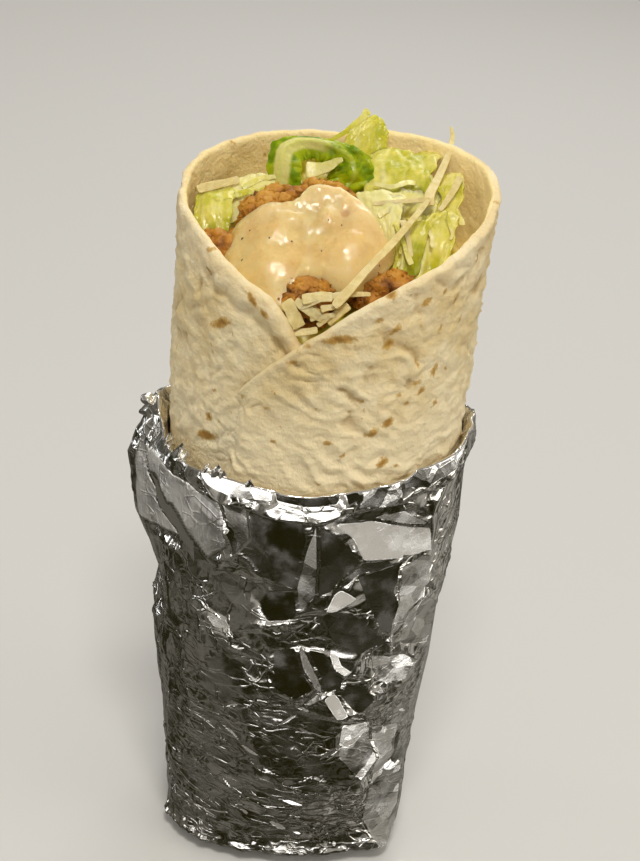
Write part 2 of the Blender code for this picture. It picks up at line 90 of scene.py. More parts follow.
def noise2(u, v, seed=0):                # smooth noise, about -1 to 1
    u, v = np.broadcast_arrays(np.asarray(u, float), np.asarray(v, float))
    i, j = np.floor(u).astype(np.int64), np.floor(v).astype(np.int64)
    fu, fv = u - i, v - j
    wu, wv = fu**3 * (fu * (fu * 6 - 15) + 10), fv**3 * (fv * (fv * 6 - 15) + 10)

    def corner(di, dj):
        turn = hashed(i + di, j + dj, 0, seed) * 2 * np.pi
        return np.cos(turn) * (fu - di) + np.sin(turn) * (fv - dj)

    low = corner(0, 0) * (1 - wu) + corner(1, 0) * wu
    high = corner(0, 1) * (1 - wu) + corner(1, 1) * wu
    return 1.5 * (low * (1 - wv) + high * wv)


def noise3(points, size, seed=0):        # smooth noise in space, from blended lattice values
    p = np.asarray(points, float) / size
    cell = np.floor(p).astype(np.int64)
    f = p - cell
    w = f**3 * (f * (f * 6 - 15) + 10)
    total = np.zeros(p.shape[:-1])
    for di in (0, 1):
        for dj in (0, 1):
            for dk in (0, 1):
                value = hashed(cell[..., 0] + di, cell[..., 1] + dj, cell[..., 2] + dk, seed)
                share = np.where(di, w[..., 0], 1 - w[..., 0])
                share = share * np.where(dj, w[..., 1], 1 - w[..., 1])
                share = share * np.where(dk, w[..., 2], 1 - w[..., 2])
                total += value * share
    return 2 * total - 1


def noiseVectors(points, size, seed):    # the same in three directions
    return np.stack([noise3(points, size, seed + axis) for axis in range(3)], axis=-1)


# The rolled tube that tortilla and foil follow

def cornerInset(height):
    r = wrap["corner"]
    drop = np.clip(r - np.asarray(height, float), 0, r)
    return r - np.sqrt(r * r - drop * drop)


def wallPoints(angle, z, outward=0.0, aboveBase=None):
    angle, z, outward = np.broadcast_arrays(
        np.asarray(angle, float), np.asarray(z, float), np.asarray(outward, float)
    )
    reach = outward - (0.0 if aboveBase is None else cornerInset(aboveBase))
    power = 2 / (2.6 - 0.6 * smoothStep(5, 60, z))
    s, c = np.sin(np.radians(angle)), np.cos(np.radians(angle))
    halfWidth = readTable(wrap["wall"], z, 1) + reach
    halfDepth = readTable(wrap["wall"], z, 2) + reach
    x = halfWidth * np.sign(s) * np.abs(s) ** power
    y = -halfDepth * np.sign(c) * np.abs(c) ** power
    return np.stack([x, y, z], axis=-1)


def lapLift(angle):                      # the outer flap stands out over the one beneath it
    fade = 1 - smoothStep(*wrap["lapFade"], angle)
    return wrap["layerLift"] * fade * smoothStep(*wrap["outerRise"], angle)


def lapSink(angle):                      # and the one beneath sinks in
    fade = 1 - smoothStep(*wrap["lapFade"], angle)
    return wrap["layerLift"] * fade * smoothStep(*wrap["innerRise"], angle)


# Meshes

def addObject(name, data):
    obj = bpy.data.objects.new(name, data)
    bpy.context.scene.collection.objects.link(obj)
    return obj


def addMesh(name, points, faces):
    mesh = bpy.data.meshes.new(name)
    mesh.from_pydata(np.asarray(points, float).reshape(-1, 3) * mm, [], faces)
    mesh.shade_smooth()
    return addObject(name, mesh)


def gridFaces(rows, columns, closeColumns=False, closeRows=False):
    index = np.arange(rows * columns).reshape(rows, columns)
    if closeColumns:
        index = np.concatenate([index, index[:, :1]], axis=1)
    if closeRows:
        index = np.concatenate([index, index[:1]], axis=0)
    corners = [index[:-1, :-1], index[:-1, 1:], index[1:, 1:], index[1:, :-1]]
    return np.stack(corners, axis=-1).reshape(-1, 4)


def addGrid(name, grid, closeColumns=False, closeRows=False, **attributes):
    obj = addMesh(name, grid, gridFaces(*grid.shape[:2], closeColumns, closeRows))
    for key, values in attributes.items():
        setAttribute(obj, key, values)
    return obj


def setAttribute(obj, key, values):
    attribute = obj.data.attributes.new(key, "FLOAT", "POINT")
    values = np.broadcast_to(values, (len(obj.data.vertices),)) if np.ndim(values) == 0 else values
    attribute.data.foreach_set("value", np.asarray(values, np.float32).ravel())


def setVectors(obj, key, values):
    attribute = obj.data.attributes.new(key, "FLOAT_VECTOR", "POINT")
    attribute.data.foreach_set("vector", np.asarray(values, np.float32).ravel())


def closeUp(obj, distance=0.01):         # merges seams and poles, fills holes, turns faces outward
    edit = bmesh.new()
    edit.from_mesh(obj.data)
    bmesh.ops.remove_doubles(edit, verts=edit.verts, dist=distance * mm)
    bmesh.ops.dissolve_degenerate(edit, edges=edit.edges, dist=0.001 * mm)
    holes = [edge for edge in edit.edges if edge.is_boundary]
    if holes:
        bmesh.ops.holes_fill(edit, edges=holes, sides=0)
    bmesh.ops.recalc_face_normals(edit, faces=edit.faces)
    edit.to_mesh(obj.data)
    edit.free()
    obj.data.shade_smooth()
    return obj


def joinMeshes(name, objects):           # one object of them all, with their attributes
    bpy.ops.object.select_all(action="DESELECT")
    for obj in objects:
        obj.select_set(True)
    bpy.context.view_layer.objects.active = objects[0]
    bpy.ops.object.join()
    objects[0].name = name
    objects[0].data.name = name
    return objects[0]


def finishPiece(obj, material, slot, *nodes):
    obj.data.materials.clear()
    obj.data.materials.append(material)
    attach(obj, "root")
    if nodes:
        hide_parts(*nodes)
    return obj


# Node graphs

class Wire:                              # a socket that can stand in a sum
    def __init__(self, graph, socket):
        self.graph = graph
        self.socket = socket

    def maths(self, operation, first, second):
        return self.graph.node("ShaderNodeMath", {"operation": operation}, {0: first, 1: second})

    def __add__(self, other):
        return self.maths("ADD", self, other)

    def __radd__(self, other):
        return self.maths("ADD", other, self)

    def __sub__(self, other):
        return self.maths("SUBTRACT", self, other)

    def __rsub__(self, other):
        return self.maths("SUBTRACT", other, self)

    def __mul__(self, other):
        return self.maths("MULTIPLY", self, other)

    def __rmul__(self, other):
        return self.maths("MULTIPLY", other, self)

    def __abs__(self):
        return self.graph.node("ShaderNodeMath", {"operation": "ABSOLUTE"}, {0: self})


class Graph:
    def __init__(self, tree):
        self.tree = tree

    def node(self, kind, settings=None, sockets=None, output=0):
        made = self.tree.nodes.new(kind)
        for name, value in (settings or {}).items():
            if name == "stops":
                ramp = made.color_ramp
                while len(ramp.elements) < len(value):
                    ramp.elements.new(1.0)
                for element, (position, colour) in zip(ramp.elements, value):
                    element.position = position
                    element.color = (*colour, 1.0)
            else:
                setattr(made, name, value)
        for key, value in (sockets or {}).items():
            if isinstance(value, Wire):
                self.tree.links.new(value.socket, made.inputs[key])
            else:
                made.inputs[key].default_value = value
        return Wire(self, made.outputs[output]) if len(made.outputs) else None

    def vectors(self, operation, first, second=None, scale=None):
        sockets = {0: first}
        if second is not None:
            sockets[1] = second
        if scale is not None:
            sockets["Scale"] = scale
        return self.node("ShaderNodeVectorMath", {"operation": operation}, sockets)

    def wander(self, reach, sockets):    # pushes every way, from a noise texture's colour
        cloud = self.node("ShaderNodeTexNoise", {}, sockets, "Color")
        return self.vectors("SCALE", self.vectors("SUBTRACT", cloud, (0.5, 0.5, 0.5)), scale=reach)


class Finish(Graph):                     # one material round a Principled shader
    def __init__(self, name, **constants):
        self.material = bpy.data.materials.new(name)
        self.material.use_nodes = True
        super().__init__(self.material.node_tree)
        self.shader = self.tree.nodes["Principled BSDF"]
        for key, value in constants.items():
            self.shader.inputs[key.replace("_", " ")].default_value = value
        self.place = self.node("ShaderNodeTexCoord", output="Object")

    def feed(self, key, wire):
        self.tree.links.new(wire.socket, self.shader.inputs[key])

    def attribute(self, key):
        return self.node("ShaderNodeAttribute", {"attribute_name": key}, output="Fac")

    def position(self, axis):
        return self.node("ShaderNodeSeparateXYZ", {}, {0: self.place}, axis)

    def grain(self, size, detail, place=None):       # noise, sized in millimetres
        sockets = {"Vector": place or self.place, "Scale": 1000 / size, "Detail": detail, "Roughness": 0.55}
        return self.node("ShaderNodeTexNoise", {}, sockets)

    def patches(self, size, detail, low, high):      # the same, as patches with soft edges
        return self.step(self.grain(size, detail), low, high)

    def cells(self, size, feature="F1", place=None, output="Distance"):
        sockets = {"Vector": place or self.place, "Scale": 1000 / size}
        return self.node("ShaderNodeTexVoronoi", {"feature": feature}, sockets, output)

    def step(self, wire, low, high):
        sockets = {"Value": wire, "From Min": low, "From Max": high}
        return self.node("ShaderNodeMapRange", {"interpolation_type": "SMOOTHSTEP"}, sockets)

    def mix(self, factor, first, second):
        first, second = [(*c, 1.0) if isinstance(c, tuple) else c for c in (first, second)]
        return self.node("ShaderNodeMix", {"data_type": "RGBA"}, {0: factor, 6: first, 7: second}, 2)

    def ramp(self, wire, *stops):
        return self.node("ShaderNodeValToRGB", {"stops": stops}, {"Fac": wire})

    def bump(self, height, depth, strength=1.0, normal=None):
        sockets = {"Strength": strength, "Distance": depth * mm, "Height": height}
        if normal:
            sockets["Normal"] = normal
        self.feed("Normal", self.node("ShaderNodeBump", {}, sockets))

    def warped(self, size, reach, place=None):       # coordinates pushed about by noise
        sockets = {"Vector": place or self.place, "Scale": 1000 / size, "Detail": 2.0}
        return self.vectors("ADD", place or self.place, self.wander(reach * mm, sockets))


# Camera, floor and light

studio = {
    "cameraPlace": (0.0, -0.380, 0.345),
    "pitch": 29.93,                # degrees down
    "yaw": 0.23,
    "roll": 5.61,
    "lens": 69.24,
    "floorSize": 12.0,
    "floorColour": (0.62, 0.615, 0.60),
    "roomGlow": 0.20,              # the soft light from all round
    "frontGlow": 0.009,            # and how bright the room mirrors in front, at the sides and above
    "frontBright": 0.37,
    "lowGlow": 0.035,
    "sideDim": 0.025,
    "sideBright": 0.31,
    "leftShare": 0.34,
    "topGlow": 0.12,
    "skyGlow": 0.42,               # the soft light from overhead
}


def addCamera():
    yaw, pitch, roll = (math.radians(studio[key]) for key in ("yaw", "pitch", "roll"))
    ahead = Vector((math.sin(yaw) * math.cos(pitch), math.cos(yaw) * math.cos(pitch), -math.sin(pitch)))
    right = ahead.cross(Vector((0, 0, 1))).normalized()
    up = right.cross(ahead)
    tiltedRight = math.cos(roll) * right + math.sin(roll) * up
    tiltedUp = math.cos(roll) * up - math.sin(roll) * right
    data = bpy.data.cameras.new("camera")
    data.lens = studio["lens"]
    camera = addObject("camera", data)
    turn = Matrix((tiltedRight, tiltedUp, -ahead)).transposed().to_4x4()
    camera.matrix_world = Matrix.Translation(studio["cameraPlace"]) @ turn
    bpy.context.scene.camera = camera


def addFloor():
    half = studio["floorSize"] / 2 / mm
    corners = [(-half, -half, 0), (half, -half, 0), (half, half, 0), (-half, half, 0)]
    floor = addMesh("floor", corners, [(0, 1, 2, 3)])
    paper = Finish("floorPaper", Roughness=0.9)
    tint = paper.grain(400, 2)
    base = studio["floorColour"]
    paper.feed("Base Color", paper.mix(tint, tuple(c * 0.97 for c in base), base))
    floor.data.materials.append(paper.material)
    floor.visible_glossy = False         # the foil mirrors the dim room, not the pale floor


def addLight(name, place, aim, size, power, colour=(1, 1, 1), glossyOnly=False):
    data = bpy.data.lights.new(name, "AREA")
    data.shape = "RECTANGLE"
    data.size, data.size_y = size
    data.energy = power
    data.color = colour
    light = addObject(name, data)
    light.visible_diffuse = not glossyOnly
    light.location = place
    light.rotation_euler = (Vector(aim) - Vector(place)).to_track_quat("-Z", "Y").to_euler()


def addStudio():
    addCamera()
    addFloor()
    world = bpy.data.worlds.new("room")
    bpy.context.scene.world = world
    world.use_nodes = True
    room = Graph(world.node_tree)
    back = world.node_tree.nodes["Background"]
    toward = room.node("ShaderNodeTexCoord", output="Generated")
    x, y, z = [room.node("ShaderNodeSeparateXYZ", {}, {0: toward}, axis) for axis in "XYZ"]

    def rise(value, low, high, bottom=0.0, top=1.0):
        return room.node(
            "ShaderNodeMapRange", {"interpolation_type": "SMOOTHSTEP"},
            {"Value": value, "From Min": low, "From Max": high, "To Min": bottom, "To Max": top},
        )

    def patches(scale, low, high):       # dark and bright parts of the room, for the foil to mirror
        cloud = room.node("ShaderNodeTexNoise", {}, {"Vector": toward, "Scale": scale, "Detail": 2.0})
        return rise(cloud, low, high)

    sides = rise(y - 0.27 * x, -0.66, -0.15)
    rightward = rise(x, -0.5, 0.5, studio["leftShare"], 1.0)
    sideGlow = sides * rightward * (studio["sideDim"] + studio["sideBright"] * patches(3.6, 0.40, 0.62))
    horizon = rise(z, -0.32, -0.06)
    uneven = 0.35 + 0.65 * patches(4.0, 0.40, 0.60)
    low = rise(z, -0.30, -0.50) * patches(7.0, 0.42, 0.60) * studio["lowGlow"]
    frontGlow = (1 - sides) * (horizon * studio["frontBright"] * uneven + low) + studio["frontGlow"]
    mirrored = frontGlow + sideGlow + rise(z, -0.15, 0.35, 0.0, studio["topGlow"])
    glossy = room.node("ShaderNodeLightPath", output="Is Glossy Ray")
    plain = studio["roomGlow"] + rise(z, 0.1, 0.8, 0.0, studio["skyGlow"])
    glow = glossy * mirrored + (1 - glossy) * plain
    seen = room.node("ShaderNodeLightPath", output="Is Camera Ray")
    warmer = {0: glow, 1: glow * 0.95 - 0.0008, 2: glow * 0.88 - 0.009}
    grey = room.node("ShaderNodeCombineColor", {}, warmer)
    pale = (*studio["floorColour"], 1.0)
    tone = room.node("ShaderNodeMix", {"data_type": "RGBA"}, {0: seen, 6: grey, 7: pale}, 2)
    world.node_tree.links.new(tone.socket, back.inputs["Color"])

    addLight("key", (0.02, -0.40, 0.95), (0, 0, 0.16), (0.22, 0.16), 4.5, (1.0, 0.965, 0.89))
    addLight("rightCard", (0.85, -0.25, 0.25), (0, 0, 0.10), (0.4, 0.7), 1.6, (1.0, 0.96, 0.90))
    addLight("leftCard", (-0.80, 0.16, 0.20), (0, 0, 0.10), (0.12, 0.6), 0.6, (0.96, 0.98, 1.0))
    addLight("foilStrip", (-0.10, -1.15, 0.13), (0, 0, 0.10), (1.3, 0.26), 1.9, glossyOnly=True)
    addLight("backFill", (0.15, 0.8, 0.8), (0, 0, 0.14), (0.6, 0.4), 3.0)
    bpy.context.scene.view_settings.view_transform = "Standard"


addStudio()
print("studio set")


# The tortilla

tortilla = {
    "sheet": 2.2,                  # thickness
    "bottom": 6.5,
    "columns": 470,
    "outerRows": 120,
    "innerRows": 34,
    "innerReach": 32.0,            # how far down inside the fine rows go
    "leftRim": (                   # angle and height: the flap lapped under
        (-180, 197), (-147, 197), (-115, 195.5), (-95, 192.5), (-77, 189.6), (-53, 186), (-36, 181.8),
        (-21, 178), (-14, 173.5), (-9, 167), (0, 163), (22, 158),
    ),
    "rightRim": (                  # and the flap lapped over
        (-55, 125), (-44, 138), (-36, 147.5), (-28, 154.7), (-19, 160.8), (-11, 166.4), (-1, 172),
        (7, 176.8), (15, 180.8), (25, 184.5), (35, 186.9), (45, 188.8), (56, 191.5), (71, 194.2),
        (84, 197), (103, 199.5), (135, 200), (164, 199), (180, 197),
    ),
    "wrinkleDepth": 0.68,
    "waveDepth": 0.5,
    "cream": (0.74, 0.575, 0.29),
    "flour": (0.85, 0.725, 0.465),
    # painted shade: the tan laid into the wrinkles' valleys
    "tan": (0.44, 0.285, 0.10),
    "toast": (0.34, 0.165, 0.024),
    "toastEdge": (0.51, 0.305, 0.060),
    "paintedLightLowCream": (0.90, 0.765, 0.50),        # painted light: paler low down near the foil, lifting the shade there
    # the inside's yellower colour, painted paler too as light bouncing inside the tube
    "insideCreamAndLight": (0.90, 0.705, 0.32),
    "lipCream": (0.86, 0.74, 0.50),
    "throughGlow": (1.0, 0.76, 0.32),       # painted glow: emission on the inside's right half, for light that comes through the sheet
    # toasted spots that stand out: angle, height, half length, half width, slant, strength
    "spots": (
        (-40.8, 167.9, 3.9, 1.1, 30, 1), (-27, 177.2, 2.2, 0.8, -50, 0.9),
        (-22, 174.4, 1.3, 0.8, -40, 0.9), (-47.3, 134.8, 3.4, 1.2, 19, 1.1),
        (-45.5, 140.6, 1.1, 1.4, 0, 0.7), (5, 171.4, 3.4, 1.2, 8, 1), (15, 181.4, 1.3, 0.8, 30, 0.9),
        (21.6, 183, 1.2, 0.7, 30, 0.8), (18.8, 176.6, 1.5, 1.3, 60, 0.5), (-9, 164.3, 1.6, 0.7, 35, 0.6),
        (26, 149, 1.5, 0.9, 60, 0.9), (20.5, 146.5, 1.2, 1, 0, 0.8), (5, 143.3, 1.3, 0.7, 0, 0.8),
        (-14, 142, 1.2, 0.7, 0, 0.5), (26, 137.4, 1.6, 0.8, 35, 0.9), (32, 136, 0.9, 0.5, 0, 0.6),
        (44, 193, 1.4, 0.7, 60, 0.8), (49, 194.4, 1.2, 0.7, 60, 0.6), (45.5, 161, 1.5, 0.8, 60, 0.7),
        (36, 158, 1.5, 0.8, 40, 0.5), (48, 151, 1.4, 0.7, 70, 0.5), (-49.9, 179.8, 1.1, 0.7, 40, 0.9),
        (44.6, 160.4, 1.7, 1.1, 60, 0.8), (29.4, 156.2, 1, 0.7, 30, 0.7),
        (38.9, 155.8, 1.1, 0.7, 40, 0.7), (32.8, 153.3, 1, 0.8, 20, 0.7),
        (20.5, 146.3, 1.6, 1.1, 50, 0.9), (-5.2, 156.1, 1.5, 0.8, 30, 0.4),
        (-18, 150.7, 1.4, 0.8, 20, 0.4), (63, 186.5, 1.1, 0.7, 60, 0.9), (36, 180.3, 1.7, 1, 45, 0.8),
        (51, 178.1, 1.5, 0.9, 60, 0.7), (45, 171.2, 1.5, 0.9, 60, 0.6), (-37.7, 175, 0.9, 0.6, 30, 0.5),
        (24.5, 174, 1.5, 0.9, 50, 0.8), (23, 170, 1.6, 0.9, 50, 0.8), (57, 171.5, 1.3, 0.8, 70, 0.7),
    ),
    "scatteredSpots": 150,
}


def rimHeight(angle, outerPass):
    left = readSoftly(tortilla["leftRim"], angle, 2.5)
    right = readSoftly(tortilla["rightRim"], angle, 2.5)
    return np.where(outerPass, right, left)


def slanted(along, up, degrees):         # coordinates turned to run along a slant
    c, s = math.cos(math.radians(degrees)), math.sin(math.radians(degrees))
    return along * c + up * s, up * c - along * s


def wrinkles(along, up, degrees, seed):  # leathery swellings, longer than they are wide
    a, b = slanted(along, up, degrees)
    a = a + 2.6 * noise2(along / 10, up / 10, seed + 5)
    b = b + 2.0 * noise2(along / 7, up / 7, seed + 6)
    fold = noise2(a / 11.0, b / 4.6, seed)
    broad = noise2(a / 5.0, b / 3.6, seed + 4)
    small = noise2(a / 2.4, b / 1.9, seed + 1)
    tiny = noise2(a / 1.25, b / 1.0, seed + 3)
    swell = 0.62 * (1 - 1.9 * np.abs(fold)) + 0.40 * broad + 0.26 * small + 0.17 * tiny - 0.20
    here = smoothStep(-0.2, 0.4, noise2(a / 12, b / 9, seed + 7))
    crease = np.exp(-((noise2(a / 7.5, b / 3.6, seed + 2) / 0.07) ** 2)) * here
    valley = smoothStep(0.15, -0.70, swell) + 0.35 * crease
    return valley, swell - 0.35 * crease


def tortillaRelief(turn, angle, z, rim):
    along = turn * perDegree
    rightShare = smoothStep(150, 260, turn)
    leftValley, leftSwell = wrinkles(along, z, -38, 11)
    rightValley, rightSwell = wrinkles(along, z, 28, 31)
    valley = leftValley * (1 - rightShare) + rightValley * rightShare
    swell = leftSwell * (1 - rightShare) + rightSwell * rightShare
    patches = 0.5 + 0.5 * noise2(along / 22, z / 17, 41)
    strength = 0.45 + 0.75 * patches
    below = rim - z
    lip = 1 - smoothStep(1.5, 4.5, below)          # the cut edge is smooth
    strength = strength * (1 - 0.45 * lip)
    depth = tortilla["wrinkleDepth"]
    out = strength * depth * swell * 1.6
    # the left flap's folded tongue beside the notch, with the crease under it
    onLeft = (1 - smoothStep(195, 215, turn)) * smoothStep(-60, -44, angle) * (1 - smoothStep(2, 10, angle))
    out = out + onLeft * (0.9 * hump(below, 3.2, 2.8) - 0.75 * hump(below, 8.0, 1.5))
    # a long soft ridge that runs down the left side towards the lap
    ridgeLine = 171.5 - 0.52 * (angle + 59)
    ridge = hump(z, ridgeLine, 2.2) * smoothStep(-75, -60, angle) * (1 - smoothStep(-36, -26, angle))
    out = out + (1 - smoothStep(195, 215, turn)) * 0.5 * ridge
    # the right flap's edge lifts a little
    onRight = smoothStep(240, 270, turn)
    out = out + onRight * 0.55 * (1 - smoothStep(0, 6, below)) * smoothStep(-46, -30, angle)
    return out, valley * strength, lip


def toastMarks(angle, z, seed, share):
    rng = random.Random(seed)
    spots = list(tortilla["spots"]) if share == 1.0 else []
    for _ in range(int(tortilla["scatteredSpots"] * share)):
        spot = (rng.uniform(-180, 180), rng.uniform(128, 200))
        shape = (rng.uniform(0.5, 1.5), rng.uniform(0.35, 0.8), rng.uniform(-70, 70), rng.uniform(0.2, 0.62))
        spots.append(spot + shape)
    marks = np.zeros(np.shape(z))
    for spotAngle, spotHeight, halfLength, halfWidth, slant, strength in spots:
        near = np.abs(z - spotHeight) < 9
        gap = (angle - spotAngle + 180) % 360 - 180
        a, b = slanted(gap * perDegree, z - spotHeight, slant)
        mark = strength * np.exp(-((a / halfLength) ** 2) - (b / halfWidth) ** 2)
        marks = np.where(near, np.maximum(marks, mark), marks)
    return marks


def makeTortilla():
    t = tortilla
    turns = wrap["lapStart"] + 360 - wrap["lapEnd"]
    half = t["sheet"] / 2
    endSteps = np.array([0.0, 0.06, 0.22, 0.5, 0.8]) * half / perDegree
    between = np.linspace(half * 1.3, turns - half * 1.3, t["columns"])
    turn = np.concatenate([endSteps, between, turns - endSteps[::-1]])
    angle = wrap["lapStart"] - turn
    outerPass = angle < -180
    angle = np.where(outerPass, angle + 360, angle)
    fromEnd = np.minimum(turn, turns - turn) * perDegree
    thin = np.sqrt(np.clip(1 - (1 - np.clip(fromEnd / half, 0, 1)) ** 2, 0, 1))
    lift = np.where(outerPass, lapLift(angle), -lapSink(angle))
    rim = rimHeight(angle, outerPass)
    rim = rim + 0.35 * noise2(turn / 9, 0.3, 71) + 0.15 * noise2(turn / 3.2, 0.7, 72)
    centre = rim - half

    # rows: up the outside, over the rim, down the inside
    coarse = (t["bottom"], 45.0, 85.0, 112.0)
    rows = [(np.full_like(turn, z), 1.0, 0.0) for z in coarse]
    rows += [(118 + (centre - 118) * share, 1.0, 0.0) for share in np.linspace(0, 1, t["outerRows"])]
    rows += [(centre, math.cos(a), math.sin(a)) for a in np.radians(np.arange(22.5, 179, 22.5))]
    low = centre - t["innerReach"]
    rows += [(centre + (low - centre) * share, -1.0, 0.0) for share in np.linspace(0, 1, t["innerRows"])]
    rows += [(t["bottom"] + (low - t["bottom"]) * share, -1.0, 0.0) for share in (0.6, 0.3, 0.0)]
    z = np.stack([row[0] + row[2] * half * thin for row in rows])
    face = np.array([row[1] for row in rows])[:, None]

    shown = smoothStep(126, 133, z)
    base = wallPoints(angle, z, lift - half)
    wave = t["waveDepth"] * noise3(base, 24, 3) + 0.5 * t["waveDepth"] * noise3(base, 11, 4)
    outRelief, valley, lip = tortillaRelief(turn[None, :], angle[None, :], z, rim[None, :])
    inRelief = 0.35 * outRelief + 0.25 * noise3(base, 5, 9)
    relief = np.where(face > 0, outRelief, inRelief)
    # low on the left the outer flap's edge runs out into the layer beneath it
    fade = outerPass * smoothStep(-10, -28, angle)
    sunk = outerPass * smoothStep(-24, -36, angle)
    lift = lift - (t["sheet"] * 0.95 * fade + 1.2 * sunk) * (1 - smoothStep(0, 11 + 49 * sunk, rim - z))
    outward = lift - half + face * half * thin + shown * (wave * 0.8 + relief * np.abs(face) ** 0.5)
    grid = wallPoints(angle, z, outward)
    inside = np.broadcast_to((face < 0) * 1.0, z.shape)
    toast = np.where(face > 0, toastMarks(angle, z, 5, 1.0), toastMarks(angle, z, 6, 0.6))
    # valley marks where the finish paints shade into the wrinkles' valleys
    looks = {"toast": toast, "valley": valley * shown, "inside": inside, "lip": lip * (1 - sunk)}
    return closeUp(addGrid("tortillaSheet", grid, closeRows=True, **looks))


def makeFlourFinish():
    t = tortilla
    f = Finish(
        "flourTortilla", Subsurface_Weight=0.12, Subsurface_Radius=(1.0, 0.6, 0.3), Subsurface_Scale=0.004,
        Specular_IOR_Level=0.3, Emission_Strength=0.14,
    )
    broad = f.grain(16, 3)
    middle = f.grain(3.6, 4)
    small = f.grain(0.9, 4)
    valley = f.attribute("valley")
    colour = f.mix(f.step(broad + 0.5 * middle, 0.55, 0.95), t["cream"], t["flour"])
    # painted shade: tan in the wrinkles' valleys, broken up by the mottling
    dull = f.step(valley * 0.75 + 0.5 * middle, 0.34, 1.15)
    colour = f.mix(dull * 0.92, colour, t["tan"])
    # painted light: the tortilla paler low down, near the foil
    colour = f.mix((1 - f.step(f.position("Z"), 0.136, 0.162)) * 0.9, colour, t["paintedLightLowCream"])
    # the inside: its own yellower colour plus painted light from inside the tube
    colour = f.mix(f.attribute("inside") * 0.85, colour, t["insideCreamAndLight"])
    colour = f.mix(f.attribute("lip") * 0.2, colour, t["lipCream"])
    # painted glow: the inside of the right half glows, for light through the sheet
    lit = f.attribute("inside") * f.step(f.position("X"), -0.030, 0.020)
    f.feed("Emission Color", f.mix(lit, (0.0, 0.0, 0.0), t["throughGlow"]))
    toast = f.attribute("toast")
    speckle = 0.9 * (middle - 0.5) + 0.6 * (small - 0.5)
    edge = f.step(toast + speckle, 0.18, 0.50)
    colour = f.mix(edge * 0.85, colour, t["toastEdge"])
    heart = f.step(toast + speckle, 0.42, 0.85)
    colour = f.mix(heart * 0.85, colour, t["toast"])
    f.feed("Base Color", colour)
    f.feed("Roughness", 0.78 - 0.16 * f.step(middle, 0.4, 0.7))
    f.bump(f.grain(1.7, 4) + small * 0.6 + f.grain(0.35, 2) * 0.15, 0.54, 0.9)
    return f.material


finishPiece(makeTortilla(), makeFlourFinish(), "tortilla", "tortilla")
print("tortilla rolled")


# The foil

